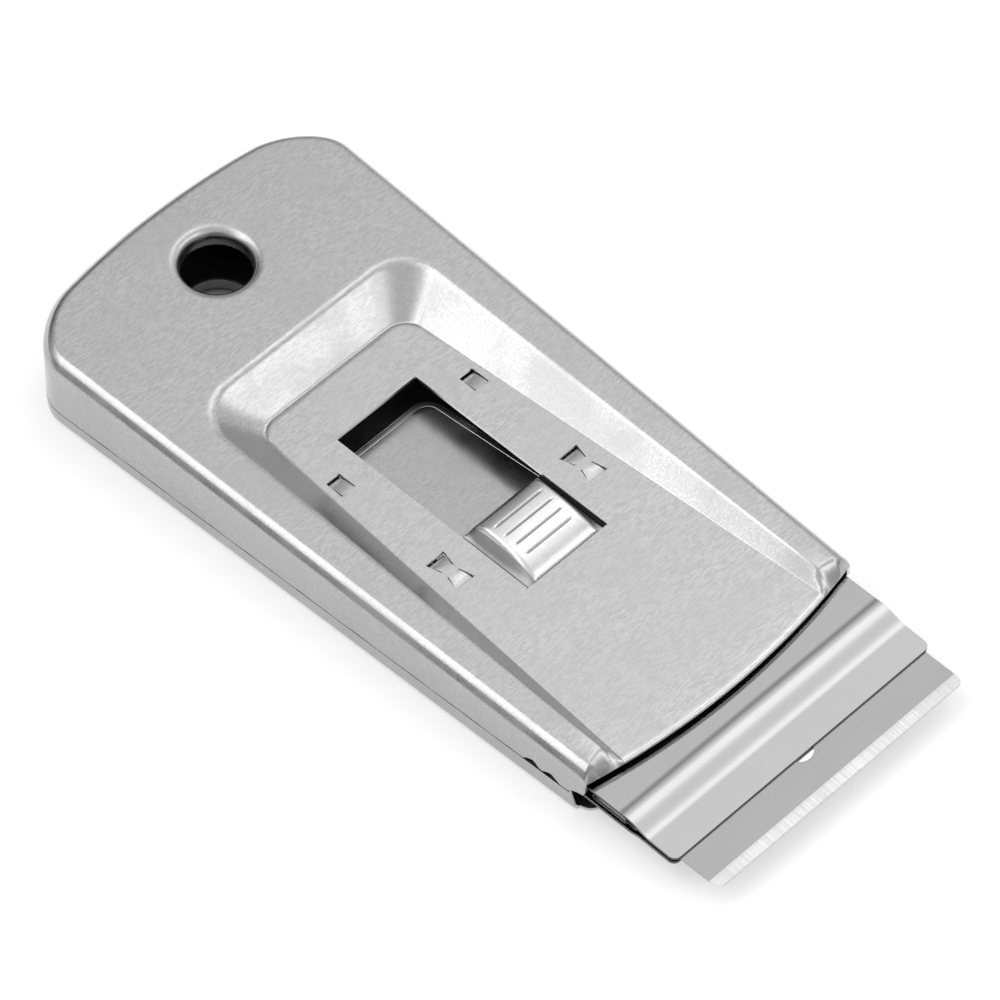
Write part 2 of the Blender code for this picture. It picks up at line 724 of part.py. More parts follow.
def spring_skin(bm):
    """Upper surface of the leaf spring, arched across the scraper with a foot at each end."""
    shoulder = dome_rise(BUTTON_MIDDLE + SPRING_WIDTH / 2)
    crown = WING_TOP + shoulder - PLATE - GROOVE_DEPTH - FIT
    foot = CLAMP_TOP + FIT + SPRING_SHEET
    rows = [(-SPRING_ARCH_HALF - SPRING_FOOT, foot)]
    for step in range(-BEND_STEPS, BEND_STEPS + 1):
        share = step / BEND_STEPS
        lift = (1 + math.cos(math.pi * share)) / 2
        rows.append((SPRING_ARCH_HALF * share, lerp(foot, crown, lift)))
    rows.append((SPRING_ARCH_HALF + SPRING_FOOT, foot))
    previous = None
    for y, z in rows:
        row = [
            bm.verts.new((BUTTON_MIDDLE + side * SPRING_WIDTH / 2, y, z)) for side in (-1, 1)
        ]
        if previous:
            bridge(bm, previous, row)
        previous = row


def spine_skin(bm):
    """Outer surface of the folded spine, from its lower front edge round the back to the upper."""
    radius = SPINE_THICKNESS / 2
    front = SPINE_REAR + SPINE_LENGTH
    rows = [(front, BLADE_MIDDLE - radius)]
    for step in range(BEND_STEPS + 1):
        angle = math.pi / 2 + math.pi * (BEND_STEPS - step) / BEND_STEPS
        rows.append(
            (SPINE_REAR + radius + radius * math.cos(angle), BLADE_MIDDLE + radius * math.sin(angle))
        )
    rows.append((front, BLADE_MIDDLE + radius))
    half = BLADE_WIDTH / 2
    previous = None
    for x, z in rows:
        row = [bm.verts.new((x, -half, z)), bm.verts.new((x, half, z))]
        if previous:
            bridge(bm, previous, row)
        previous = row


def blade_solid(bm):
    """The blade as a run of cross sections: flat body, ground bevel, rounded front corners."""
    half = BLADE_WIDTH / 2
    rear = SPINE_REAR + SPINE_SHEET + FIT + SPINE_THICKNESS / 2 - SPINE_SHEET
    bevel_rear = BLADE_EDGE - BEVEL_LENGTH
    sections = [(rear, half), (bevel_rear, half)]
    for back, width in reversed(rounded_end(BEVEL_LENGTH, half, BLADE_CORNER_RADIUS)):
        sections.append((BLADE_EDGE - back, width))
    previous = None
    for x, width in sections:
        share = max(0.0, share_along(x, bevel_rear, BLADE_EDGE))
        thick = lerp(BLADE_THICKNESS, EDGE_THICKNESS, share) / 2
        ring = [
            bm.verts.new((x, y, BLADE_MIDDLE + z))
            for y, z in ((-width, -thick), (width, -thick), (width, thick), (-width, thick))
        ]
        if previous:
            bridge_loop(bm, previous, ring)
        else:
            bm.faces.new(ring)
        previous = ring
    bm.faces.new(previous)


def rivet_profile():
    """Radius and height down the outer side of a shouldered rivet, from its top to its bottom."""
    head = RIVET_HEAD_DIAMETER / 2
    shank = RIVET_DIAMETER / 2
    return [
        (0.0, CLAMP_TOP + FIT + RIVET_HEAD_HEIGHT),
        (head * 0.8, CLAMP_TOP + FIT + RIVET_HEAD_HEIGHT),
        (head, CLAMP_TOP + FIT + RIVET_HEAD_HEIGHT / 2),
        (head, CLAMP_TOP + FIT),
        (shank, CLAMP_TOP + FIT),
        (shank, CLAMP_BOTTOM - FIT),
        (head, CLAMP_BOTTOM - FIT),
        (head, BASE_TOP + FIT),
        (shank, BASE_TOP + FIT),
        (shank, BASE_TOP - PLATE - FIT),
        (head, BASE_TOP - PLATE - FIT),
        (head, BASE_TOP - PLATE - FIT - RIVET_HEAD_HEIGHT),
        (0.0, BASE_TOP - PLATE - FIT - RIVET_HEAD_HEIGHT),
    ]


def new_object(name, bm, group, finish):
    """An object in a collection from a bmesh, with its own material."""
    mesh = bpy.data.meshes.new(name)
    bm.to_mesh(mesh)
    bm.free()
    item = bpy.data.objects.new(name, mesh)
    group.objects.link(item)
    mesh.materials.append(metal(finish))
    return item


def sheet_part(name, build, thickness, outward, group, finish):
    """A pressed part: an open skin, faced along outward, thickened inwards."""
    bm = bmesh.new()
    build(bm)
    bmesh.ops.recalc_face_normals(bm, faces=bm.faces)
    outward = Vector(outward)
    furthest = max(bm.faces, key=lambda face: face.calc_center_median().dot(outward))
    if furthest.normal.dot(outward) < 0:
        bmesh.ops.reverse_faces(bm, faces=bm.faces)
    item = new_object(name, bm, group, finish)
    item.data.shade_smooth()
    item.data.set_sharp_from_angle(angle=SMOOTH_ANGLE)
    solidify = item.modifiers.new("sheet", "SOLIDIFY")
    solidify.thickness = thickness
    solidify.offset = -1.0
    solidify.use_even_offset = True
    shading = item.modifiers.new("shading", "WEIGHTED_NORMAL")
    shading.keep_sharp = True
    return item


def turned_part(name, profile, x, y, group, finish):
    """A turned part from a profile that runs down its outer side."""
    bm = bmesh.new()
    verts = [bm.verts.new((radius, 0.0, z)) for radius, z in profile]
    for a, b in zip(verts, verts[1:]):
        bm.edges.new((a, b))
    item = new_object(name, bm, group, finish)
    item.location = (x, y, 0.0)
    screw = item.modifiers.new("turning", "SCREW")
    screw.angle = 2 * math.pi
    screw.steps = RIVET_STEPS
    screw.render_steps = RIVET_STEPS
    screw.use_smooth_shade = True
    screw.use_merge_vertices = True
    screw.merge_threshold = 0.00001
    return item


def cutter(name, group, bottom, top, x, y, size=None, diameter=None):
    """A wire guide that cuts a round or rectangular opening between two heights."""
    bm = bmesh.new()
    middle = (bottom + top) / 2
    if diameter:
        bmesh.ops.create_cone(
            bm,
            cap_ends=True,
            segments=RIVET_STEPS,
            radius1=diameter / 2,
            radius2=diameter / 2,
            depth=top - bottom,
        )
    else:
        bmesh.ops.create_cube(bm, size=1.0)
        bmesh.ops.scale(bm, vec=(size[0], size[1], top - bottom), verts=bm.verts)
    bmesh.ops.translate(bm, vec=(x, y, middle), verts=bm.verts)
    mesh = bpy.data.meshes.new(name)
    bm.to_mesh(mesh)
    bm.free()
    item = bpy.data.objects.new(name, mesh)
    group.objects.link(item)
    item.hide_render = True
    item.display_type = "WIRE"
    return item


def cut(item, tool):
    """Takes a cutter's shape out of a part."""
    boolean = item.modifiers.new(tool.name, "BOOLEAN")
    boolean.operation = "DIFFERENCE"
    boolean.solver = "EXACT"
    boolean.object = tool


def joint_empty(name, location, group, parent=None):
    """An empty on a joint's axis that carries the pieces that move with it."""
    empty = bpy.data.objects.new(name, None)
    group.objects.link(empty)
    empty.location = location
    if parent:
        carry(empty, parent)
    return empty


def carry(item, empty):
    """Parents a piece to an empty and leaves it where it is."""
    item.parent = empty
    item.matrix_parent_inverse = Matrix.Translation(-empty.location)


def build_holder(parts, cutters, carriage):
    """The two holder plates, their rivets, the blade and its spine, all on the carriage."""
    clamp = sheet_part("clamp_plate", clamp_skin, PLATE, (0, 0, 1), parts, POLISHED)
    base = sheet_part("base_plate", base_skin, PLATE, (0, 0, 1), parts, POLISHED)
    rivet_y = HOLDER_HALF - RIVET_INSET
    rivet_hole = RIVET_DIAMETER + 2 * FIT
    rivets = []
    for side, name in ((-1, "near"), (1, "far")):
        y = side * rivet_y
        tool = cutter(
            f"rivet_hole_{name}", cutters, PLATFORM_HEIGHT, PANEL_TOP, RIVET_X, y, diameter=rivet_hole
        )
        cut(clamp, tool)
        cut(base, tool)
        rivets.append(
            turned_part(f"holder_rivet_{name}", rivet_profile(), RIVET_X, y, parts, RIVET_METAL)
        )
        slot_width = PLATE + 2 * LEG_CLEARANCE
        slot = cutter(
            f"leg_slot_{name}",
            cutters,
            CLAMP_BOTTOM - PLATE,
            CLAMP_TOP + PLATE,
            BUTTON_MIDDLE,
            side * (WING_HALF - PLATE / 2),
            size=(LEG_LENGTH + 2 * LEG_CLEARANCE, slot_width),
        )
        cut(clamp, slot)
    bm = bmesh.new()
    blade_solid(bm)
    bmesh.ops.recalc_face_normals(bm, faces=bm.faces)
    blade = new_object("blade", bm, parts, BLADE_STEEL)
    hole = cutter(
        "blade_hole",
        cutters,
        BLADE_BOTTOM - PLATE,
        BLADE_TOP + PLATE,
        BLADE_EDGE - BLADE_HOLE_TO_EDGE,
        0.0,
        diameter=BLADE_HOLE_DIAMETER,
    )
    cut(blade, hole)
    spine = sheet_part("blade_spine", spine_skin, SPINE_SHEET, (0, 0, 1), parts, SPINE_METAL)
    spring = sheet_part("leaf_spring", spring_skin, SPRING_SHEET, (0, 0, 1), parts, SPRING_METAL)
    for item in (clamp, base, *rivets, blade, spine, spring):
        carry(item, carriage)


def main():
    """Builds the scraper with its blade out."""
    clear_scene()
    parts = collection("razor_blade_scraper")
    cutters = collection("cutters")
    sheet_part("top_shell", top_shell, SHEET, (0, 0, 1), parts, SATIN)
    sheet_part("bottom_shell", bottom_shell, SHEET, (0, 0, -1), parts, SATIN_INNER)
    carriage = joint_empty("blade_carriage", (BUTTON_MIDDLE, 0.0, CLAMP_TOP), parts)
    build_holder(parts, cutters, carriage)
    press = joint_empty("button_guide", (BUTTON_MIDDLE, 0.0, WING_TOP), parts, carriage)
    button = sheet_part("thumb_button", button_skin, PLATE, (0, 0, 1), parts, BUTTON_METAL)
    carry(button, press)


main()
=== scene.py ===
"""Retractable razor blade scraper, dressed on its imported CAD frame.

World axes follow the CAD: +X towards the cutting edge, +Y to the far side, +Z up, in metres, with
the origin on the flat underside. Sizes below are written in millimetres and multiplied by MM.
"""

import logging
import math
from collections.abc import Callable, Iterable, Sequence
from dataclasses import dataclass
from enum import Enum
from typing import ClassVar

import bmesh
import bpy
from bmesh.types import BMEdge, BMesh, BMFace, BMVert
from bpy.types import ID, Material, Node, NodeSocket, NodeTree, Object
from mathutils import Matrix, Vector


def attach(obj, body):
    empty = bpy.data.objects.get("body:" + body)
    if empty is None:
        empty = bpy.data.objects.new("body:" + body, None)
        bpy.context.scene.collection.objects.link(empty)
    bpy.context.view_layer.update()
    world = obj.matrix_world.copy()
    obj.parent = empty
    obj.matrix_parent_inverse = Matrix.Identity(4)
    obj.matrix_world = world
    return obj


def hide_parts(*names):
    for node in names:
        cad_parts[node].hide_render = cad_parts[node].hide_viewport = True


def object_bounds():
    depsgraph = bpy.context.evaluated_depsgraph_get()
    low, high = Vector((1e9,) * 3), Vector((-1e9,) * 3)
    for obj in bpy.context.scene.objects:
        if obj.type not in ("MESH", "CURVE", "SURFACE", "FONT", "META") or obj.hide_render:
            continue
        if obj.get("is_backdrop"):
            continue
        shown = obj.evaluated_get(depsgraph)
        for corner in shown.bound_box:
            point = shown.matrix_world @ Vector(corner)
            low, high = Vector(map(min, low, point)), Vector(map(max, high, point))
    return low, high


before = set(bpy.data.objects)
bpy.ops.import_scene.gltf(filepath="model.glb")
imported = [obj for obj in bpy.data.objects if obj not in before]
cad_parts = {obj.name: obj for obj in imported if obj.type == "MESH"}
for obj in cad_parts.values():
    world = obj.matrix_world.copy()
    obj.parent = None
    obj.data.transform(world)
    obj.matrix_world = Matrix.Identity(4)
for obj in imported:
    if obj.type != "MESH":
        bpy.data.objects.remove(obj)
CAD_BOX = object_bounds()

log = logging.getLogger("scraper")

MM = 0.001
Plan = list[tuple[float, float]]
Height = Callable[[float, float], float]
Ring = list[BMVert]


class Body(Enum):
    """The bodies that the pieces ride on."""

    SHELLS = "body"
    CARRIER = "carrier"
    BUTTON = "button"


class Slot(Enum):
    """Names of material slots that the pieces built here are passed with."""

    TOP_SHELL = "top_shell"
    BOTTOM_SHELL = "bottom_shell"
    HOLDER = "holder_plates"
    BUTTON = "thumb_button"
    BLADE = "blade"


class Lay(Enum):
    """Which way the fine grain of a surface runs."""

    ACROSS = (1.0, 0.24, 1.0)
    ALONG = (0.2, 1.0, 1.0)
    TICKS = (0.03, 1.6, 0.1)
    EVEN = (0.8, 0.8, 0.8)


def lerp(a: float, b: float, share: float) -> float:
    """The value a share of the way from a to b."""
    return a + (b - a) * share


def clamp(share: float) -> float:
    """The share held between 0 and 1."""
    return min(1.0, max(0.0, share))


def share_along(x: float, start: float, end: float) -> float:
    """How far x lies from start to end, as a share."""
    return (x - start) / (end - start)


def ease(share: float) -> float:
    """A share that starts and stops gently."""
    share = clamp(share)
    return share * share * (3 - 2 * share)


def place_object(name: str, data: ID) -> Object:
    """Makes an object of a mesh, lamp or camera and puts it in the scene.

    Args:
        name: The object's name.
        data: What it holds.

    Returns:
        The object.
    """
    item = bpy.data.objects.new(name, data)
    bpy.context.scene.collection.objects.link(item)
    return item


class Desk:
    """Lays out the nodes of one material or node group."""

    def __init__(self, tree: NodeTree) -> None:
        """Starts on a node tree.

        Args:
            tree: The tree that gets the nodes.
        """
        self.tree = tree

    def add(self, kind: str, **settings: object) -> Node:
        """Adds a node.

        Args:
            kind: Blender's type name of the node.
            settings: Values for the node's own properties.

        Returns:
            The new node.
        """
        node = self.tree.nodes.new(kind)
        for key, value in settings.items():
            setattr(node, key, value)
        return node

    def link(self, source: NodeSocket, target: NodeSocket) -> None:
        """Joins an output to an input."""
        self.tree.links.new(source, target)

    def feed(self, target: NodeSocket, value: object) -> None:
        """Gives an input a value, or joins it to an output.

        Args:
            target: The input.
            value: A number, a colour or vector, or an output socket.
        """
        if isinstance(value, NodeSocket):
            self.link(value, target)
        else:
            target.default_value = value

    def math(self, operation: str, *values: object, clamped: bool = False) -> NodeSocket:
        """Works out a value from others.

        Args:
            operation: The operation's name.
            values: Numbers or sockets.
            clamped: Whether the result stays between 0 and 1.

        Returns:
            The result's socket.
        """
        node = self.add("ShaderNodeMath", operation=operation, use_clamp=clamped)
        for target, value in zip(node.inputs, values):
            self.feed(target, value)
        return node.outputs[0]

    def scaled(self, vector: NodeSocket, scale: Sequence[float]) -> NodeSocket:
        """Multiplies a vector by a number for each axis.

        Args:
            vector: The vector.
            scale: The three numbers.

        Returns:
            The result's socket.
        """
        node = self.add("ShaderNodeVectorMath", operation="MULTIPLY")
        self.link(vector, node.inputs[0])
        node.inputs[1].default_value = scale
        return node.outputs[0]

    def stretched(self, vector: NodeSocket, factor: NodeSocket) -> NodeSocket:
        """Multiplies a vector by one number.

        Args:
            vector: The vector.
            factor: The number's socket.

        Returns:
            The result's socket.
        """
        node = self.add("ShaderNodeVectorMath", operation="SCALE")
        self.link(vector, node.inputs[0])
        self.link(factor, node.inputs["Scale"])
        return node.outputs[0]

    def noise(
        self, vector: NodeSocket, scale: float, detail: float = 3.0, distortion: float = 0.0
    ) -> NodeSocket:
        """Cloudy noise.

        Args:
            vector: Where it is read.
            scale: How fine it is.
            detail: How many finer layers it has.
            distortion: How much it is stirred.

        Returns:
            The noise value's socket.
        """
        node = self.add("ShaderNodeTexNoise")
        self.link(vector, node.inputs["Vector"])
        node.inputs["Scale"].default_value = scale
        node.inputs["Detail"].default_value = detail
        node.inputs["Distortion"].default_value = distortion
        return node.outputs["Fac"]

    def window(self, value: NodeSocket, low: float, high: float) -> NodeSocket:
        """Stretches a value so that low becomes 0 and high becomes 1, with soft ends.

        Args:
            value: The value.
            low: Where the result is 0. It may be the higher of the two.
            high: Where the result is 1.

        Returns:
            The result's socket.
        """
        node = self.add("ShaderNodeMapRange", interpolation_type="SMOOTHSTEP")
        self.link(value, node.inputs["Value"])
        node.inputs["From Min"].default_value = low
        node.inputs["From Max"].default_value = high
        return node.outputs["Result"]

    def spread(self, value: NodeSocket, low: float, high: float) -> NodeSocket:
        """Spreads a value from 0 to 1 between two others.

        Args:
            value: The value.
            low: The result at 0.
            high: The result at 1.

        Returns:
            The result's socket.
        """
        node = self.add("ShaderNodeMapRange")
        self.link(value, node.inputs["Value"])
        node.inputs["To Min"].default_value = low
        node.inputs["To Max"].default_value = high
        return node.outputs["Result"]

    def blend(self, factor: object, first: object, second: object) -> NodeSocket:
        """A colour between two others.

        Args:
            factor: How much of the second, as a number or socket.
            first: The first colour or socket.
            second: The second colour or socket.

        Returns:
            The mixed colour's socket.
        """
        node = self.add("ShaderNodeMix", data_type="RGBA")
        self.feed(node.inputs[0], factor)
        self.feed(node.inputs[6], first)
        self.feed(node.inputs[7], second)
        return node.outputs[2]

    def group(self, tree: NodeTree, **values: object) -> Node:
        """Places a node group.

        Args:
            tree: The group.
            values: Its inputs by name, with underscores for spaces.

        Returns:
            The group's node.
        """
        node = self.add("ShaderNodeGroup", node_tree=tree)
        for key, value in values.items():
            self.feed(node.inputs[key.replace("_", " ")], value)
        return node


class Effects:
    """The surface effects that several finishes share, each as a node group built once."""

    STREAK_SHARE: ClassVar[float] = 0.65
    SPECKLE_SCALE: ClassVar[float] = 6800.0
    GRAIN_RANGE: ClassVar[tuple[float, float]] = (0.36, 0.64)
    SCRATCHES: ClassVar[tuple[tuple[float, tuple[float, float, float]], ...]] = (
        (0.9, (320.0, 4200.0, 320.0)),
        (-0.5, (260.0, 3600.0, 260.0)),
    )
    SCRATCH_RANGE: ClassVar[tuple[float, float]] = (0.68, 0.78)
    SMUDGE_RANGE: ClassVar[tuple[float, float]] = (0.35, 0.68)
    WORN_RANGE: ClassVar[tuple[float, float]] = (0.515, 0.60)
    WEAR_SCALE: ClassVar[float] = 900.0
    WEAR_SPREAD: ClassVar[tuple[float, float]] = (0.4, 1.2)

    def __init__(self) -> None:
        """Builds every group."""
        self.grain = self._grain()
        self.marks = self._marks()
        self.smudges = self._smudges()
        self.wear = self._wear()

    @staticmethod
    def _start(
        name: str, inputs: dict[str, str], outputs: Sequence[str]
    ) -> tuple[NodeTree, Desk, Node, Node]:
        """Opens a group.

        Args:
            name: The group's name.
            inputs: Socket type of each input by name.
            outputs: Name of each output, which is a number.

        Returns:
            The tree, its desk, its input node and its output node.
        """
        tree = bpy.data.node_groups.new(name, "ShaderNodeTree")
        for label, kind in inputs.items():
            tree.interface.new_socket(label, in_out="INPUT", socket_type=f"NodeSocket{kind}")
        for label in outputs:
            tree.interface.new_socket(label, in_out="OUTPUT", socket_type="NodeSocketFloat")
        desk = Desk(tree)
        return tree, desk, desk.add("NodeGroupInput"), desk.add("NodeGroupOutput")

    def _grain(self) -> NodeTree:
        """Fine wrinkled grain of tumbled sheet steel, with short streaks.

        Returns:
            The group, which gives a height and a brightness mask.
        """
        tree, desk, given, result = self._start(
            "rolled_grain",
            {"Place": "Vector", "Streak": "Vector", "Fineness": "Float"},
            ("Height", "Shade"),
        )
        across = desk.add("ShaderNodeVectorMath", operation="MULTIPLY")
        desk.link(given.outputs["Place"], across.inputs[0])
        desk.link(given.outputs["Streak"], across.inputs[1])
        place = desk.stretched(across.outputs[0], given.outputs["Fineness"])
        streaks = desk.noise(place, 1.0, detail=1.5, distortion=0.3)
        speckle = desk.noise(given.outputs["Place"], self.SPECKLE_SCALE, detail=1.0)
        both = desk.math(
            "ADD",
            desk.math("MULTIPLY", streaks, self.STREAK_SHARE),
            desk.math("MULTIPLY", speckle, 1 - self.STREAK_SHARE),
        )
        desk.link(both, result.inputs["Height"])
        desk.link(desk.window(both, *self.GRAIN_RANGE), result.inputs["Shade"])
        return tree

    def _marks(self) -> NodeTree:
        """Sparse fine handling scratches in two directions.

        Returns:
            The group, which gives a mask.
        """
        tree, desk, given, result = self._start(
            "handling_marks", {"Place": "Vector", "Amount": "Float"}, ("Mask",)
        )
        masks = []
        for turn, stretch in self.SCRATCHES:
            turned = desk.add("ShaderNodeVectorRotate", rotation_type="Z_AXIS")
            desk.link(given.outputs["Place"], turned.inputs["Vector"])
            turned.inputs["Angle"].default_value = turn
            lines = desk.noise(desk.scaled(turned.outputs[0], stretch), 1.0, detail=1.0)
            masks.append(desk.window(lines, *self.SCRATCH_RANGE))
        both = desk.math("MAXIMUM", *masks)
        desk.link(
            desk.math("MULTIPLY", both, given.outputs["Amount"], clamped=True), result.inputs["Mask"]
        )
        return tree

    def _smudges(self) -> NodeTree:
        """Broad soft patches where hands and tumbling left the metal duller.

        Returns:
            The group, which gives a mask.
        """
        tree, desk, given, result = self._start(
            "soft_smudges", {"Place": "Vector", "Spacing": "Float"}, ("Mask",)
        )
        place = desk.stretched(given.outputs["Place"], given.outputs["Spacing"])
        clouds = desk.noise(place, 1.0, detail=4.0, distortion=0.4)
        desk.link(desk.window(clouds, *self.SMUDGE_RANGE), result.inputs["Mask"])
        return tree

    def _wear(self) -> NodeTree:
        """Edges that rubbing has brightened.

        Returns:
            The group, which gives a mask.
        """
        tree, desk, given, result = self._start(
            "edge_wear", {"Place": "Vector", "Amount": "Float"}, ("Mask",)
        )
        shape = desk.add("ShaderNodeNewGeometry")
        edges = desk.window(shape.outputs["Pointiness"], *self.WORN_RANGE)
        patches = desk.noise(given.outputs["Place"], self.WEAR_SCALE, detail=2.0)
        broken = desk.spread(patches, *self.WEAR_SPREAD)
        mask = desk.math("MULTIPLY", edges, broken)
        desk.link(
            desk.math("MULTIPLY", mask, given.outputs["Amount"], clamped=True), result.inputs["Mask"]
        )
        return tree


@dataclass(frozen=True)
class Finish:
    """A metal finish: its colour, how it shines, and the texture it carries."""

    SMUDGE_SPACING: ClassVar[float] = 110.0
    SMUDGE_AMOUNT: ClassVar[float] = 0.5
    SMUDGE_TONE: ClassVar[float] = 0.94
    MARK_TONE: ClassVar[float] = 1.25
    MARK_DEPTH: ClassVar[float] = 0.5
    WORN_TONE: ClassVar[float] = 1.4
    PALEST: ClassVar[float] = 0.95

    name: str
    colour: float
    roughness: float
    uneven: float = 0.06
    lay: Lay = Lay.EVEN
    fineness: float = 4300.0
    relief: float = 0.3
    relief_depth: float = 0.01 * MM
    shade: float = 0.08
    marks: float = 0.3
    wear: float = 0.5
    warmth: float = 0.0

    def tone(self, share: float) -> tuple[float, float, float, float]:
        """The finish's colour times a share, with its warmth."""
        level = min(self.PALEST, self.colour * share)
        return (level * (1 + self.warmth), level, level * (1 - self.warmth), 1.0)

    def material(self, effects: Effects) -> Material:
        """Builds the finish's material.

        Args:
            effects: The shared node groups.

        Returns:
            The material.
        """
        material = bpy.data.materials.new(self.name)
        material.use_nodes = True
        desk = Desk(material.node_tree)
        shader = material.node_tree.nodes["Principled BSDF"]
        shader.inputs["Metallic"].default_value = 1.0
        place = desk.add("ShaderNodeTexCoord").outputs["Object"]
        grain = desk.group(
            effects.grain, Place=place, Streak=self.lay.value, Fineness=self.fineness
        )
        marks = desk.group(effects.marks, Place=place, Amount=self.marks)
        smudges = desk.group(effects.smudges, Place=place, Spacing=self.SMUDGE_SPACING)
        wear = desk.group(effects.wear, Place=place, Amount=self.wear)

        plain = desk.blend(
            grain.outputs["Shade"], self.tone(1 - self.shade), self.tone(1 + self.shade)
        )
        dull = desk.math("MULTIPLY", smudges.outputs["Mask"], self.SMUDGE_AMOUNT)
        dulled = desk.blend(dull, plain, self.tone(self.SMUDGE_TONE))
        marked = desk.blend(marks.outputs["Mask"], dulled, self.tone(self.MARK_TONE))
        worn = desk.blend(wear.outputs["Mask"], marked, self.tone(self.WORN_TONE))
        desk.link(worn, shader.inputs["Base Color"])
        smooth, rough = self.roughness - self.uneven, self.roughness + self.uneven
        desk.link(desk.spread(smudges.outputs["Mask"], smooth, rough), shader.inputs["Roughness"])
        bump = desk.add("ShaderNodeBump")
        bump.inputs["Strength"].default_value = self.relief
        bump.inputs["Distance"].default_value = self.relief_depth
        scratched = desk.math("MULTIPLY", marks.outputs["Mask"], self.MARK_DEPTH)
        height = desk.math("SUBTRACT", grain.outputs["Height"], scratched)
        desk.link(height, bump.inputs["Height"])
        desk.link(bump.outputs["Normal"], shader.inputs["Normal"])
        return material


class Finishes:
    """Every finish of the scraper, as ready materials."""

    def __init__(self, effects: Effects) -> None:
        """Builds the materials.

        Args:
            effects: The shared node groups.
        """
        made = {
            "shell": Finish("satin_shell", 0.45, 0.26, lay=Lay.ACROSS, shade=0.11, wear=0.0),
            "panel": Finish("rubbed_panel", 0.56, 0.30, lay=Lay.ACROSS, shade=0.11, marks=0.4,
                            wear=0.0),
            "shell_cut": Finish("sheared_shell_edge", 0.85, 0.30, wear=0.0),
            "tray": Finish("satin_tray", 0.45, 0.30, lay=Lay.ACROSS, wear=0.0),
            "tray_cut": Finish("sheared_tray_edge", 0.6, 0.32, wear=0.0),
            "plate": Finish("polished_plate", 0.43, 0.10, uneven=0.02, relief=0.04, shade=0.012,
                            marks=0.06, lay=Lay.ALONG, wear=0.0),
            # Dark copy of the plate steel on the plates' cut edges: painted shade for the shaded edges
            # and gaps of the plate stack.
            "plate_cut": Finish("shaded_plate_edge", 0.13, 0.4, relief=0.1, shade=0.04, wear=0.0),
            "button": Finish("bright_button", 0.66, 0.26, relief=0.2, shade=0.05),
            # Darker copy of the button steel: painted shade in the grooves and on the steep ends of the
            # arch.
            "button_groove": Finish("painted_shade_groove", 0.36, 0.4, relief=0.2, marks=0.0, wear=0.0),
            # Near-black copy on the wings beside the arch: painted shadow of the gap round the button.
            "button_gap": Finish("shaded_wing", 0.02, 0.6, relief=0.2, marks=0.0, wear=0.0),
            "button_cut": Finish("button_edge", 0.5, 0.3, relief=0.15),
            "blade": Finish("blade_steel", 0.40, 0.22, uneven=0.03, relief=0.08, shade=0.015,
                            lay=Lay.ALONG, marks=0.1, wear=0.0),
            "ground": Finish("ground_bevel", 0.66, 0.40, lay=Lay.TICKS, relief=0.6, shade=0.14,
                             marks=0.0, wear=0.0),
            "spine": Finish("spine_steel", 0.55, 0.34, lay=Lay.ACROSS),
            "rivet": Finish("rivet_steel", 0.50, 0.38, relief=0.2),
            "spring": Finish("spring_steel", 0.40, 0.30, relief=0.15, warmth=-0.03),
        }
        self.materials = {key: finish.material(effects) for key, finish in made.items()}

    def __getitem__(self, key: str) -> Material:
        """The material of a finish."""
        return self.materials[key]


@dataclass(frozen=True)
class BodyPlan:
    """The outline and levels that the two shells share."""

    SETTLE_ROUNDS: ClassVar[int] = 6

    rear: float = -53.975 * MM
    front: float = 37.625 * MM
    half_rear: float = 23.45 * MM
    half_front: float = 20.95 * MM
    corner_radius: float = 8.8 * MM
    bow_radius: float = 95.0 * MM
    arc_radius: float = 98.0 * MM
    panel_top: float = 6.4 * MM
    rise_rear: float = 4.6 * MM
    rise_front: float = 1.5 * MM
    tallest: float = 10.93 * MM
    seam_rear: float = 2.15 * MM
    seam_front: float = 2.85 * MM
    sheet: float = 0.4 * MM
    edge: float = 0.06 * MM
    margin: float = 0.3 * MM
    spacing: float = 4.0 * MM
    curl: float = 0.35 * MM
    hole_x: float = -43.125 * MM
    hole_radius: float = 4.2 * MM
    hole_lip: float = 1.2 * MM
    hole_depth: float = 2.2 * MM
    hole_steps: int = 72
    hole_bends: int = 10

    def half(self, x: float) -> float:
        """Half width of the body at x."""
        return lerp(self.half_rear, self.half_front, share_along(x, self.rear, self.front))

    def border(self, x: float) -> float:
        """Height of the sloping top border at x."""
        share = share_along(x, self.rear, self.front)
        return min(self.tallest, self.panel_top + lerp(self.rise_rear, self.rise_front, share))

    def seam(self, x: float) -> float:
        """Height of the seam between the shells at x."""
        return lerp(self.seam_rear, self.seam_front, share_along(x, self.rear, self.front))

    def arc(self, y: float, setback: float = 0.0) -> float:
        """Where the arched front edge lies at y."""
        return self.front - setback - (self.arc_radius - math.sqrt(self.arc_radius**2 - y**2))

    def settle(self, half_at: Callable[[float], float], setback: float = 0.0) -> float:
        """Where a narrowing side meets the arched front edge.

        Args:
            half_at: Half width of the side at x.
            setback: How far the edge is set back.

        Returns:
            The place along X.
        """
        x = self.front
        for _ in range(self.SETTLE_ROUNDS):
            x = self.arc(half_at(x), setback)
        return x


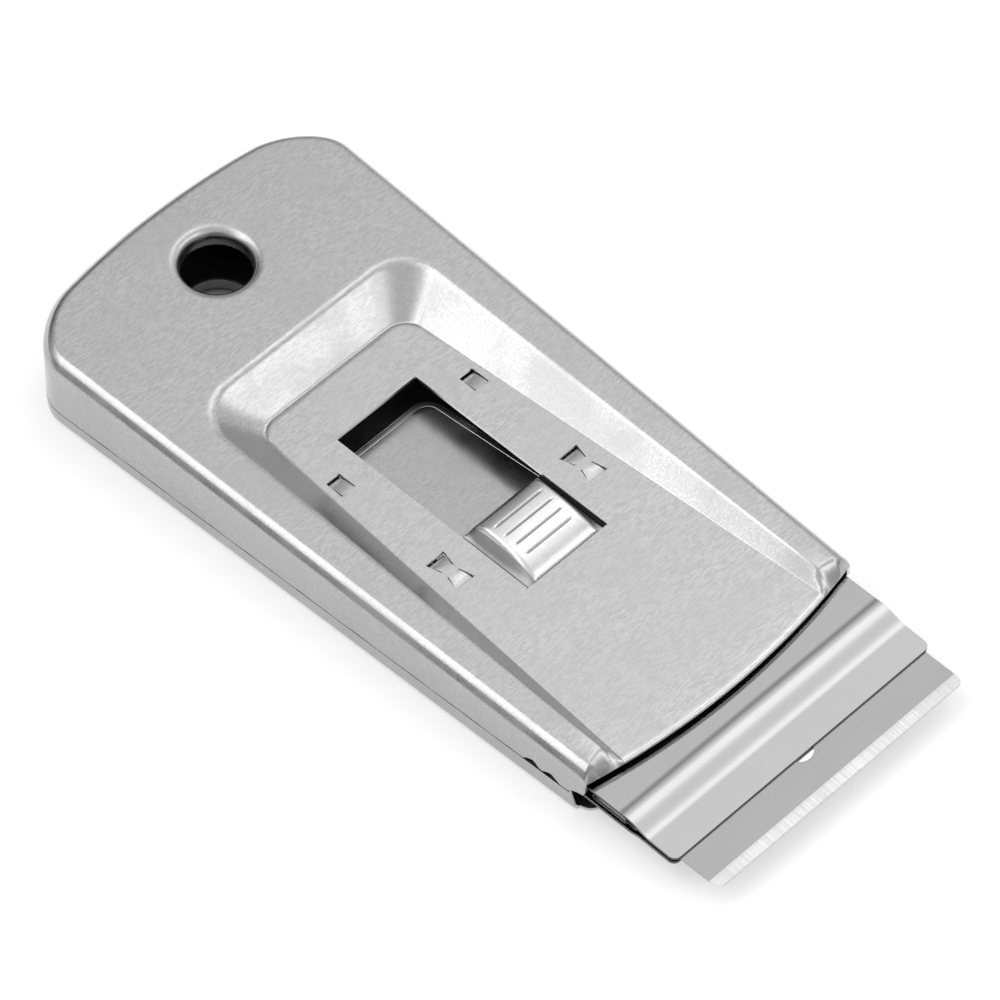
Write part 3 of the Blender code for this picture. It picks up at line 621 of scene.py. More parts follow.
class Skin:
    """An open sheet that grows row by row and ends as a pressed part."""

    SHARP: ClassVar[float] = 50.0

    def __init__(self) -> None:
        """Starts an empty skin."""
        self.bm: BMesh = bmesh.new()
        self.flats: set[BMFace] = set()

    def ring(self, plan: Plan, height: Height) -> Ring:
        """Vertices over a plan.

        Args:
            plan: X and Y of each.
            height: Their height at X and Y.

        Returns:
            The row of vertices.
        """
        return [self.bm.verts.new((x, y, height(x, y))) for x, y in plan]

    def bridge(self, first: Ring, second: Ring, skip: int = 0, index: int = 0) -> None:
        """Faces between two open rows.

        Args:
            first: One row.
            second: The other, of the same length.
            skip: Steps left open at each end.
            index: Material index of the faces.
        """
        for i in range(skip, len(first) - 1 - skip):
            face = self.bm.faces.new((first[i], first[i + 1], second[i + 1], second[i]))
            face.material_index = index

    def bridge_loop(self, first: Ring, second: Ring, index: int = 0) -> None:
        """Faces between two closed rows.

        Args:
            first: One row.
            second: The other.
            index: Material index of the faces.
        """
        for i in range(len(first)):
            after = (i + 1) % len(first)
            face = self.bm.faces.new((first[i], first[after], second[after], second[i]))
            face.material_index = index

    def level_ring(self, plan: Plan, level: float) -> Ring:
        """Vertices over a plan, all at one level."""
        return self.ring(plan, lambda x, y: level)

    def edges(self, row: Ring, closed: bool = False) -> list[BMEdge]:
        """The edges along a row, made where they are missing.

        Args:
            row: The row.
            closed: Whether an edge joins its ends too.

        Returns:
            The edges.
        """
        pairs = list(zip(row, row[1:]))
        if closed:
            pairs.append((row[-1], row[0]))
        return [self.bm.edges.get(pair) or self.bm.edges.new(pair) for pair in pairs]

    def fill(self, rows: Iterable[Ring], loops: Iterable[Ring] = ()) -> None:
        """Triangles over a flat region.

        Args:
            rows: Open rows along its outline.
            loops: Closed outlines, of the region or of its openings.
        """
        found = []
        for row in rows:
            found += self.edges(row)
        for loop in loops:
            found += self.edges(loop, closed=True)
        made = bmesh.ops.triangle_fill(
            self.bm, use_beauty=True, edges=list(dict.fromkeys(found)), normal=(0, 0, 1)
        )
        self.flats.update(item for item in made["geom"] if isinstance(item, BMFace))

    def circle(self, x: float, radius: float, height: Callable[[float], float], steps: int) -> Ring:
        """A closed round row.

        Args:
            x: Its middle along X.
            radius: Its radius.
            height: The height at X.
            steps: How many vertices.

        Returns:
            The row.
        """
        row = []
        for step in range(steps):
            angle = 2 * math.pi * step / steps
            px = x + radius * math.cos(angle)
            row.append(self.bm.verts.new((px, radius * math.sin(angle), height(px))))
        return row

    def finish(
        self,
        name: str,
        materials: Sequence[Material],
        outward: Sequence[float],
        thickness: float = 0.0,
        edge: float = 0.0,
        smooth: float = 32.0,
    ) -> Object:
        """Turns the skin into a piece.

        Args:
            name: The piece's name.
            materials: Its materials by index, the last of them for the sheet's cut edge.
            outward: A direction that the outermost face looks along.
            thickness: Sheet thickness, grown inwards. 0 for a closed skin.
            edge: How much the sharp edges are rounded.
            smooth: The widest angle in degrees that is shaded smooth.

        Returns:
            The piece.
        """
        bmesh.ops.recalc_face_normals(self.bm, faces=self.bm.faces)
        way = Vector(outward)
        if thickness:
            furthest = max(self.bm.faces, key=lambda face: face.calc_center_median().dot(way))
            if furthest.normal.dot(way) < 0:
                bmesh.ops.reverse_faces(self.bm, faces=self.bm.faces)
        for face in self.bm.faces:
            face.smooth = face not in self.flats
        mesh = bpy.data.meshes.new(name)
        self.bm.to_mesh(mesh)
        self.bm.free()
        item = place_object(name, mesh)
        for material in materials:
            mesh.materials.append(material)
        mesh.set_sharp_from_angle(angle=math.radians(smooth))
        if thickness:
            solidify = item.modifiers.new("sheet", "SOLIDIFY")
            solidify.thickness = thickness
            solidify.offset = -1.0
            solidify.material_offset_rim = len(materials) - 1
        if edge:
            bevel = item.modifiers.new("edge", "BEVEL")
            bevel.width = edge
            bevel.segments = 2
            bevel.limit_method = "ANGLE"
            bevel.angle_limit = math.radians(self.SHARP)
        shading = item.modifiers.new("shading", "WEIGHTED_NORMAL")
        shading.keep_sharp = True
        return item


def trough(
    rear: float,
    half_at: Callable[[float], float],
    radius: float,
    ends: Sequence[float],
    bow: float = 0.0,
    corner_steps: int = 20,
    rear_steps: int = 10,
) -> Plan:
    """A plan open at the front: near side, rear corner, rear edge, far corner and far side.

    Args:
        rear: Where the rear edge lies.
        half_at: Half width at x, which changes steadily.
        radius: Radius of the rear corners.
        ends: X of the side's points, from the front back to the last before the corner.
        bow: Radius of the bowed rear edge, or 0 for a straight one.
        corner_steps: Steps round each corner.
        rear_steps: Steps along half of the rear edge.

    Returns:
        The plan's points.
    """
    centre_x = rear + radius
    lean = math.atan2(half_at(centre_x - radius) - half_at(centre_x), radius)
    centre_y = half_at(centre_x) - radius / math.cos(lean)
    far = [(rear, centre_y * step / rear_steps, 1.0) for step in range(rear_steps + 1)]
    for step in range(1, corner_steps + 1):
        angle = lerp(math.pi, math.pi / 2 - lean, step / corner_steps)
        reach = max(0.0, -math.cos(angle))
        far.append(
            (centre_x + radius * math.cos(angle), centre_y + radius * math.sin(angle), reach)
        )
    for x in reversed(ends):
        far.append((x, half_at(x), 0.0))
    points = []
    for x, y, reach in far:
        points.append((x + (y**2 / (2 * bow) * reach if bow else 0.0), y))
    return [(x, -y) for x, y in reversed(points[1:])] + points


def stations(first: float, last: float, step: float) -> list[float]:
    """Points from first to just before last, about a step apart."""
    count = max(1, round(abs(last - first) / step))
    return [lerp(first, last, i / count) for i in range(count)]


def settle_piece(item: Object, body: Body, slot: Slot, *nodes: str) -> Object:
    """Puts a piece on its body, over its CAD nodes, and reports it.

    Args:
        item: The piece.
        body: The body it rides on.
        slot: Its material slot. Not used.
        nodes: CAD nodes that it stands for.

    Returns:
        The piece.
    """
    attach(item, body.value)
    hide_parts(*nodes)
    log.info("%s rides on %s and stands for %s", item.name, body.value, ", ".join(nodes))
    return item


def hole_collar(skin: Skin, plan: BodyPlan, height: Callable[[float], float], way: int) -> Ring:
    """A flared collar round the hang hole.

    Args:
        skin: The skin it joins.
        plan: The body's sizes.
        height: The sheet's level at x.
        way: -1 for a collar that turns down, 1 for one that turns up.

    Returns:
        The collar's outer row.
    """
    steps = plan.hole_steps
    lip = plan.hole_radius + plan.hole_lip
    outer = skin.circle(plan.hole_x, lip + plan.margin, height, steps)
    previous = skin.circle(plan.hole_x, lip, height, steps)
    skin.bridge_loop(outer, previous)
    for step in range(1, plan.hole_bends + 1):
        angle = math.pi / 2 * step / plan.hole_bends
        drop = way * plan.hole_lip * (1 - math.cos(angle))
        reach = plan.hole_radius + plan.hole_lip * (1 - math.sin(angle))
        ring = skin.circle(plan.hole_x, reach, lambda x, drop=drop: height(x) + drop, steps)
        skin.bridge_loop(previous, ring)
        previous = ring
    end = skin.circle(
        plan.hole_x, plan.hole_radius, lambda x: height(x) + way * plan.hole_depth, steps
    )
    skin.bridge_loop(previous, end)
    return outer


@dataclass
class TopCover:
    """The pressed cover with its sunk panel, window, lances, hang hole and skirt."""

    PANEL: ClassVar[int] = 1

    plan: BodyPlan
    edge_bends: tuple[tuple[float, float], ...] = (
        (20.0, 0.30), (46.0, 0.75), (52.0, 0.10), (59.0, 0.80), (90.0, 0.45),
    )
    skirt_bulges: tuple[tuple[float, float], ...] = (
        (26.2, 0.0), (26.6, 0.45), (27.6, 0.85), (28.2, 0.55), (28.6, 0.1), (29.2, 0.15),
        (29.6, 0.6), (30.4, 0.75), (31.1, 0.35), (31.6, 0.0), (32.9, 0.05), (33.7, 0.85),
        (35.0, 1.15), (35.5, 2.2), (36.5, 2.4),
    )
    skirt_inset: float = 1.0 * MM
    skirt_end: float = 3.2 * MM
    skirt_fine_rear: float = 24.0 * MM
    skirt_fine: float = 0.45 * MM
    skirt_coarse: float = 1.4 * MM
    wave_height: float = 0.06 * MM
    wave_length: float = 0.9 * MM
    wave_swell: float = 3.1 * MM
    wave_shift: float = 1.0
    bend_steps: int = 4
    crest_rear: float = -30.275 * MM
    crest_half: float = 17.3 * MM
    crest_corner: float = 5.5 * MM
    panel_rear: float = -24.375 * MM
    panel_half_rear: float = 11.3 * MM
    panel_half_front: float = 15.6 * MM
    panel_corner: float = 2.2 * MM
    crest_rounding: float = 0.2
    crest_steps: int = 7
    wall_shares: tuple[float, ...] = (0.35, 0.5, 0.65, 0.73)
    foot_rounding: float = 0.06
    foot_steps: int = 5
    trough_depth: float = 0.2 * MM
    trough_run: float = 0.5 * MM
    trough_end: float = 5.0 * MM
    trough_least: float = 0.6
    trough_steps: int = 6
    pinch_steps: int = 8
    soft_pinch: float = 1.4
    hard_pinch: float = 18.0
    flare: float = 2.4 * MM
    flare_outer: float = 0.4 * MM
    flare_from: float = 2.0 * MM
    front_steps: int = 40
    window_rear: float = -17.675 * MM
    window_front: float = 12.325 * MM
    window_half: float = 6.3 * MM
    lance_setback: float = 5.4 * MM
    lance_length: float = 4.9 * MM
    lance_waist: float = 0.9 * MM
    lance_pinch: float = 0.55 * MM
    lance_inner: float = 9.1 * MM
    lance_outer: float = 12.0 * MM
    tab_setback: float = 3.7 * MM
    tab_length: float = 2.6 * MM
    tab_inner: float = 9.5 * MM
    tab_outer: float = 11.6 * MM
    drop: float = 0.5 * MM
    tongue_steps: int = 8
    slot_width: float = 0.15 * MM

    def skirt_edge(self, x: float, y: float) -> float:
        """Height of the skirt's lower edge, with the bulges and the cut by its front corner.

        Args:
            x: The place along X.
            y: The place along Y. Only the sides are uneven.

        Returns:
            The height.
        """
        height = self.plan.seam(x)
        if abs(y) < self.plan.half(x) - self.skirt_inset:
            return height
        for (x0, r0), (x1, r1) in zip(self.skirt_bulges, self.skirt_bulges[1:]):
            if x0 * MM <= x < x1 * MM:
                return height + lerp(r0, r1, share_along(x, x0 * MM, x1 * MM)) * MM
        wave = math.sin(x / self.wave_length) * math.sin(x / self.wave_swell + self.wave_shift)
        return height + self.wave_height * wave

    def settle_ends(self, row: Ring, hardness: float) -> Ring:
        """Pinches a row's last stretch down to the front edge.

        Args:
            row: The row, whose ends lie on the front edge.
            hardness: How short the bend is.

        Returns:
            The same row.
        """
        low = self.plan.panel_top - self.plan.curl
        for step in range(self.pinch_steps):
            share = 1 - (step / self.pinch_steps) ** 2
            for vert in (row[step], row[-1 - step]):
                vert.co.z = lerp(vert.co.z, low, share**hardness)
        return row

    def edge_profile(self) -> Plan:
        """Works out the rounded top edge, from the skirt in to the border.

        Returns:
            Inset and drop of each of its points.
        """
        points = [(0.0, 0.0)]
        angle = 0.0
        for target, length in self.edge_bends:
            reach = length / self.bend_steps
            for step in range(self.bend_steps):
                turn = math.radians(lerp(angle, target, (step + 0.5) / self.bend_steps))
                out, down = points[-1]
                points.append((out + reach * math.cos(turn), down + reach * math.sin(turn)))
            angle = target
        width = points[-1][0]
        return [((width - out) * MM, down * MM) for out, down in reversed(points)]

    def pinch(self, half_at: Callable[[float], float], flare: float) -> list[float]:
        """Where a side's points lie along its pinched front stretch.

        Args:
            half_at: Half width of the side at x.
            flare: Length of the stretch.

        Returns:
            The places, from the front back.
        """
        steps = self.pinch_steps
        return [self.plan.settle(half_at, flare * (i / steps) ** 2) for i in range(steps + 1)]

    def outer_plan(self, inset: float) -> Plan:
        """The cover's outline, drawn in by an inset.

        Args:
            inset: How far in.

        Returns:
            The plan.
        """
        plan = self.plan

        def half_at(x: float) -> float:
            """Half width of the outline at x."""
            return plan.half(x) - inset

        share = share_along(half_at(plan.front - self.flare_from), plan.half_front, self.crest_half)
        front = self.pinch(half_at, lerp(self.flare_outer, self.flare, clamp(share)))
        cut = front[0] - self.skirt_end
        skirt = [lerp(front[-1], cut, part) for part in (0.25, 0.5, 0.75)]
        back = stations(cut, self.skirt_fine_rear, self.skirt_fine)
        last = plan.rear + plan.corner_radius
        back += stations(self.skirt_fine_rear, last, self.skirt_coarse)
        return trough(
            plan.rear + inset,
            half_at,
            plan.corner_radius - inset,
            [*front, *skirt, *back],
            plan.bow_radius,
        )

    def crest_plan(self, run: float) -> Plan:
        """The outline of the recess's crest, drawn out by a run.

        Args:
            run: How far out.

        Returns:
            The plan.
        """
        half = self.crest_half + run
        front = self.pinch(lambda x: half, self.flare)
        last = self.crest_rear + self.crest_corner
        return trough(
            self.crest_rear - run,
            lambda x: half,
            self.crest_corner + run,
            [*front, *stations(front[-1], last, self.plan.spacing)[1:]],
        )

    def panel_plan(self, run: float) -> Plan:
        """The outline of the sunk panel, drawn out by a run that dies away to the front.

        Args:
            run: How far out at the rear.

        Returns:
            The plan.
        """

        def half_at(x: float) -> float:
            """Half width of the outline at x."""
            share = share_along(x, self.panel_rear, self.plan.front)
            half = lerp(self.panel_half_rear, self.panel_half_front, share)
            return half + run * lerp(1.0, self.trough_left(x), ease(run / self.trough_run))

        front = self.pinch(half_at, self.flare)
        last = self.panel_rear + self.panel_corner
        crest_last = self.crest_rear + self.crest_corner
        count = len(stations(0.0, crest_last - front[-1], self.plan.spacing))
        back = [lerp(front[-1], last, i / count) for i in range(1, count)]
        return trough(self.panel_rear - run, half_at, self.panel_corner + run, [*front, *back])

    def trough_left(self, x: float) -> float:
        """Share of the trough round the panel that is left at x."""
        rear = self.panel_rear
        left = 1 - ease(share_along(x, rear, rear + self.trough_end))
        return max(self.trough_least, left)

    def wall_fall(self, share: float) -> float:
        """How far the recess wall has fallen, with a rounded crest and foot.

        Args:
            share: Share of the wall's run.

        Returns:
            Share of its fall.
        """
        crest, foot = self.crest_rounding, self.foot_rounding
        steep = 1 / (1 - crest / 2 - foot / 2)
        if share < crest:
            return steep * share**2 / (2 * crest)
        if share > 1 - foot:
            return 1 - steep * (1 - share) ** 2 / (2 * foot)
        return steep * (share - crest / 2)

    def build_recess(self, skin: Skin) -> tuple[Ring, Ring]:
        """The recess from outside its crest to inside the panel's raised edge.

        Args:
            skin: The cover's skin.

        Returns:
            The outermost row and the innermost row.
        """
        plan = self.plan

        def low(x: float) -> float:
            """Level of the trough's bottom at x."""
            left = share_along(self.trough_left(x), self.trough_least, 1.0)
            return plan.panel_top - self.trough_depth * left

        outside = skin.ring(self.crest_plan(plan.margin), lambda x, y: plan.border(x))
        rows = [self.settle_ends(outside, self.soft_pinch)]
        crest, foot = self.crest_plan(0.0), self.panel_plan(self.trough_run)
        tops, feet = self.crest_steps, self.foot_steps
        shares = [self.crest_rounding * i / tops for i in range(tops + 1)]
        shares += self.wall_shares
        shares += [1 - self.foot_rounding * (1 - i / feet) for i in range(feet + 1)]
        for share in shares:
            points = [
                (lerp(a[0], b[0], share), lerp(a[1], b[1], share)) for a, b in zip(crest, foot)
            ]
            fall = self.wall_fall(share)
            row = skin.ring(points, lambda x, y: lerp(plan.border(x), low(x), fall))
            for end in (row[0], row[-1]):
                end.co.x = plan.arc(end.co.y)
            rows.append(self.settle_ends(row, lerp(self.soft_pinch, self.hard_pinch, share**4)))
        wall_rows = len(rows)
        for step in range(1, self.trough_steps + 1):
            share = step / self.trough_steps
            lift = (1 - math.cos(math.pi * share)) / 2
            row = skin.ring(
                self.panel_plan(self.trough_run * (1 - share)),
                lambda x, y: lerp(low(x), plan.panel_top, lift),
            )
            rows.append(self.settle_ends(row, self.hard_pinch))
        for i, (first, second) in enumerate(zip(rows, rows[1:]), 1):
            skin.bridge(first, second, index=self.PANEL if i >= wall_rows else 0)
        inside = skin.level_ring(self.panel_plan(-plan.margin), plan.panel_top)
        skin.bridge(rows[-1], self.settle_ends(inside, self.hard_pinch), index=self.PANEL)
        return rows[0], inside

    def tongue(
        self, skin: Skin, root: Ring, root_x: float, tip_x: float, spread: float = 0.0
    ) -> None:
        """A strip that bends down from its root to its tip.

        Args:
            skin: The cover's skin.
            root: Vertices of its root.
            root_x: Where the root lies.
            tip_x: Where the tip lies.
            spread: How much wider it grows on each side.
        """
        middle = (root[0].co.y + root[1].co.y) / 2
        growth = 2 * spread / abs(root[0].co.y - root[1].co.y)
        previous = root
        for step in range(1, self.tongue_steps + 1):
            share = step / self.tongue_steps
            x = lerp(root_x, tip_x, share)
            level = self.plan.panel_top - self.drop * share**2
            row = [
                skin.bm.verts.new((x, lerp(middle, v.co.y, 1 + growth * share), level))
                for v in root
            ]
            skin.bridge(previous, row)
            previous = row

    def front_lance(self, skin: Skin, side: int) -> Ring:
        """A bow-tie lance: its waist stays level and both ends are pressed down.

        Args:
            skin: The cover's skin.
            side: -1 for the near one, 1 for the far one.

        Returns:
            The outline of its opening.
        """
        top = self.plan.panel_top
        front = self.window_front - self.lance_setback
        rear = front - self.lance_length
        waist_rear = (front + rear - self.lance_waist) / 2
        waist_front = (front + rear + self.lance_waist) / 2
        inner, outer, slot = self.lance_inner, self.lance_outer, self.slot_width
        low, high = inner + self.lance_pinch, outer - self.lance_pinch
        levels = [side * y for y in (low, low + slot, high - slot, high)]
        rear_row = skin.level_ring([(waist_rear, y) for y in levels], top)
        front_row = skin.level_ring([(waist_front, y) for y in levels], top)
        skin.bridge(rear_row, front_row)
        self.tongue(skin, rear_row[1:3], waist_rear, rear + slot, self.lance_pinch)
        self.tongue(skin, front_row[1:3], waist_front, front - slot, self.lance_pinch)
        outline = ((rear, inner), (front, inner), (front, outer), (rear, outer))
        corners = skin.level_ring([(x, side * y) for x, y in outline], top)
        return [
            corners[0], rear_row[0], front_row[0], corners[1],
            corners[2], front_row[3], rear_row[3], corners[3],
        ]

    def rear_tab(self, skin: Skin, side: int) -> Ring:
        """A tab sheared on three sides, pressed down at its rear end.

        Args:
            skin: The cover's skin.
            side: -1 for the near one, 1 for the far one.

        Returns:
            The outline of its opening.
        """
        top = self.plan.panel_top
        rear = self.window_rear + self.tab_setback
        front = rear + self.tab_length
        inner, outer, slot = self.tab_inner, self.tab_outer, self.slot_width
        levels = (inner, inner + slot, outer - slot, outer)
        root = skin.level_ring([(front, side * y) for y in levels], top)
        self.tongue(skin, root[1:3], front, rear + slot)
        return root + skin.level_ring([(rear, side * outer), (rear, side * inner)], top)

    def build_panel(self, skin: Skin, panel: Ring) -> None:
        """The flat panel with its openings, and its front edge that curls down a little.

        Args:
            skin: The cover's skin.
            panel: The row inside the panel's edge.
        """
        plan, top, pinch = self.plan, self.plan.panel_top, self.pinch_steps
        before = set(skin.bm.faces)
        fronts = []
        for step in range(pinch + 1):
            near, far = panel[step], panel[-1 - step]
            setback = self.flare * (step / pinch) ** 2
            row = [near]
            for i in range(1, self.front_steps):
                y = lerp(near.co.y, far.co.y, i / self.front_steps)
                row.append(skin.bm.verts.new((plan.arc(y, setback), y, near.co.z)))
            fronts.append(row + [far])
        for first, second in zip(fronts, fronts[1:]):
            skin.bridge(first, second)
        window = (
            (self.window_rear, -self.window_half),
            (self.window_front, -self.window_half),
            (self.window_front, self.window_half),
            (self.window_rear, self.window_half),
        )
        loops = [skin.level_ring(window, top)]
        for side in (-1, 1):
            loops.append(self.front_lance(skin, side))
            loops.append(self.rear_tab(skin, side))
        skin.fill([panel[pinch:-pinch], fronts[-1]], loops)
        for face in set(skin.bm.faces) - before:
            face.material_index = self.PANEL

    def build(self, finishes: Finishes) -> list[Object]:
        """Builds the cover.

        Args:
            finishes: The ready materials.

        Returns:
            The piece.
        """
        plan, skin, pinch = self.plan, Skin(), self.pinch_steps
        previous = skin.ring(self.outer_plan(0.0), self.skirt_edge)
        profile = self.edge_profile()
        for inset, drop in profile:
            row = skin.ring(self.outer_plan(inset), lambda x, y: plan.border(x) - drop)
            skin.bridge(previous, self.settle_ends(row, self.soft_pinch))
            previous = row
        inner_plan = self.outer_plan(profile[-1][0] + plan.margin)
        border = skin.ring(inner_plan, lambda x, y: plan.border(x))
        skin.bridge(previous, self.settle_ends(border, self.soft_pinch))
        crest, panel = self.build_recess(skin)
        skin.bridge(border[: pinch + 1], crest[: pinch + 1])
        skin.bridge(border[-1 - pinch :], crest[-1 - pinch :])
        hole = hole_collar(skin, plan, plan.border, -1)
        joins = [[border[i], crest[i]] for i in (pinch, -1 - pinch)]
        skin.fill([border[pinch:-pinch], crest[pinch:-pinch], *joins], [hole])
        self.build_panel(skin, panel)
        item = skin.finish(
            "top_cover",
            (finishes["shell"], finishes["panel"], finishes["shell_cut"]),
            (0, 0, 1),
            thickness=plan.sheet,
            edge=plan.edge,
        )
        return [settle_piece(item, Body.SHELLS, Slot.TOP_SHELL, "top_shell")]


@dataclass
class Tray:
    """The pressed bottom: nesting rim, side wall, floor and raised platform."""

    plan: BodyPlan
    edge_radius: float = 0.8 * MM
    edge_steps: int = 8
    platform_rear: float = -16.325 * MM
    platform_half_rear: float = 6.75 * MM
    platform_half_front: float = 10.8 * MM
    platform_height: float = 2.5 * MM
    platform_corner: float = 1.6 * MM
    platform_steps: int = 12
    platform_corner_steps: int = 12
    beads: tuple[float, ...] = (0.58, 0.9)
    bead_height: float = 0.35 * MM
    bead_width: float = 0.07
    bead_fade: float = 0.2
    wall_run: float = 2.1 * MM
    wall_steps: int = 32
    wall_softness: float = 0.7
    nest: float = 0.5 * MM
    nest_height: float = 1.6 * MM
    nest_end: float = 19.2 * MM
    wall_end: float = 4.7 * MM
    wall_slant: float = 1.0 * MM
    seam_gap: float = 0.15 * MM
    setback: float = 0.3 * MM
    corner: float = 1.7 * MM
    corner_steps: int = 12
    corner_gap: float = 0.1 * MM
    flare: float = 2.4 * MM
    foot_steps: int = 8
    front_steps: int = 24

    def outer_plan(self, inset: float, end: float) -> Plan:
        """The tray's outline.

        Args:
            inset: How far it is drawn in.
            end: Where its sides end along X.

        Returns:
            The plan.
        """
        plan = self.plan
        last = plan.rear + plan.corner_radius
        ends = [end] + stations(plan.front - self.nest_end, last, plan.spacing)
        return trough(
            plan.rear + inset,
            lambda x: plan.half(x) - inset,
            plan.corner_radius - inset,
            ends,
            plan.bow_radius,
        )

    def platform_half(self, x: float) -> float:
        """Half width of the raised platform at x."""
        share = share_along(x, self.platform_rear, self.plan.front)
        return lerp(self.platform_half_rear, self.platform_half_front, share)

    def platform_row(self, skin: Skin, run: float, height: float) -> Ring:
        """A row round the platform.

        Args:
            skin: The tray's skin.
            run: How far out from the platform's top edge.
            height: Its level.

        Returns:
            The row.
        """
        front = self.plan.settle(lambda x: self.platform_half(x) + run, self.setback)
        rear = self.platform_rear - run
        radius = self.platform_corner + run
        count = self.platform_steps
        points = trough(
            rear,
            lambda x: self.platform_half(x) + run,
            radius,
            [front] + [lerp(front - self.flare, rear + radius, i / count) for i in range(count)],
            corner_steps=self.platform_corner_steps,
        )
        return skin.level_ring(points, height)

    def front_row(self, skin: Skin, near: BMVert, far: BMVert, height: float, count: int) -> Ring:
        """Vertices along the arched front edge between two that are there already.

        Args:
            skin: The tray's skin.
            near: The first.
            far: The last.
            height: Their level.
            count: How many steps.

        Returns:
            The row.
        """
        row = [near]
        for step in range(1, count):
            y = lerp(near.co.y, far.co.y, step / count)
            row.append(skin.bm.verts.new((self.plan.arc(y, self.setback), y, height)))
        return row + [far]

    def build(self, finishes: Finishes) -> list[Object]:
        """Builds the tray.

        Args:
            finishes: The ready materials.

        Returns:
            The piece.
        """
        plan, skin = self.plan, Skin()
        wall_end = plan.front - self.wall_end
        nest_plan = self.outer_plan(self.nest, wall_end)
        rim_top = skin.ring(nest_plan, lambda x, y: plan.seam(x) + self.nest_height)
        rim_root = skin.ring(nest_plan, lambda x, y: plan.seam(x) - self.seam_gap)
        wall_top = skin.ring(
            self.outer_plan(0.0, wall_end), lambda x, y: plan.seam(x) - self.seam_gap
        )
        skin.bridge(rim_top, rim_root, skip=1)
        skin.bridge(rim_root, wall_top, skip=1)
        for row in (rim_top, rim_root):
            skin.bm.verts.remove(row[0])
            skin.bm.verts.remove(row[-1])
        previous = wall_top
        slant_height = plan.seam(wall_end)
        for step in range(self.edge_steps + 1):
            angle = math.pi / 2 * step / self.edge_steps
            height = self.edge_radius * (1 - math.sin(angle))
            inset = self.edge_radius * (1 - math.cos(angle))
            end = wall_end + self.wall_slant * (1 - height / slant_height)
            row = skin.level_ring(self.outer_plan(inset, end), height)
            skin.bridge(previous, row)
            previous = row
        floor = previous
        top_level = self.platform_height - plan.sheet
        rows = []
        for step in range(self.wall_steps + 1):
            share = step / self.wall_steps
            lift = lerp(share, (1 - math.cos(math.pi * share)) / 2, self.wall_softness)
            bump = sum(math.exp(-(((share - bead) / self.bead_width) ** 2)) for bead in self.beads)
            level = top_level * lift + self.bead_height * bump * ease((1 - share) / self.bead_fade)
            rows.append(self.platform_row(skin, self.wall_run * (1 - share), level))
            if len(rows) > 1:
                skin.bridge(rows[-2], rows[-1])
        base, top = rows[0], rows[-1]
        fronts = []
        for side, wall_foot, base_end in ((-1, floor[0], base[0]), (1, floor[-1], base[-1])):
            centre_y = abs(wall_foot.co.y) - self.corner
            row = [wall_foot]
            corner_front = plan.arc(centre_y, self.setback)
            for step in range(1, self.corner_steps + 1):
                angle = math.pi / 2 * step / self.corner_steps
                x = corner_front - self.corner * (1 - math.sin(angle))
                y = side * (centre_y + self.corner * math.cos(angle))
                if x > wall_foot.co.x + self.corner_gap:
                    row.append(skin.bm.verts.new((x, y, 0.0)))
            fronts.append(row[:-1] + self.front_row(skin, row[-1], base_end, 0.0, self.foot_steps))
        hole = hole_collar(skin, plan, lambda x: 0.0, 1)
        skin.fill([floor, base] + fronts, [hole])
        skin.fill([top, self.front_row(skin, top[0], top[-1], top_level, self.front_steps)])
        item = skin.finish(
            "bottom_tray",
            (finishes["tray"], finishes["tray_cut"]),
            (0, 0, -1),
            thickness=plan.sheet,
            edge=plan.edge,
        )
        return [settle_piece(item, Body.SHELLS, Slot.BOTTOM_SHELL, "bottom_shell")]


def rounded_end(half: float, radius: float, steps: int, length: float = math.inf) -> Plan:
    """The rounded corners of a plate's end.

    Args:
        half: Half width of the plate.
        radius: Radius of the corners.
        steps: Steps round each corner.
        length: Points this far back or further are left out.

    Returns:
        Distance back from the end and half width there, for each step.
    """
    rows = []
    for step in range(steps + 1):
        angle = math.pi / 2 * step / steps
        rows.append((radius * (1 - math.cos(angle)), half - radius * (1 - math.sin(angle))))
    return [(back, width) for back, width in rows if back < length]


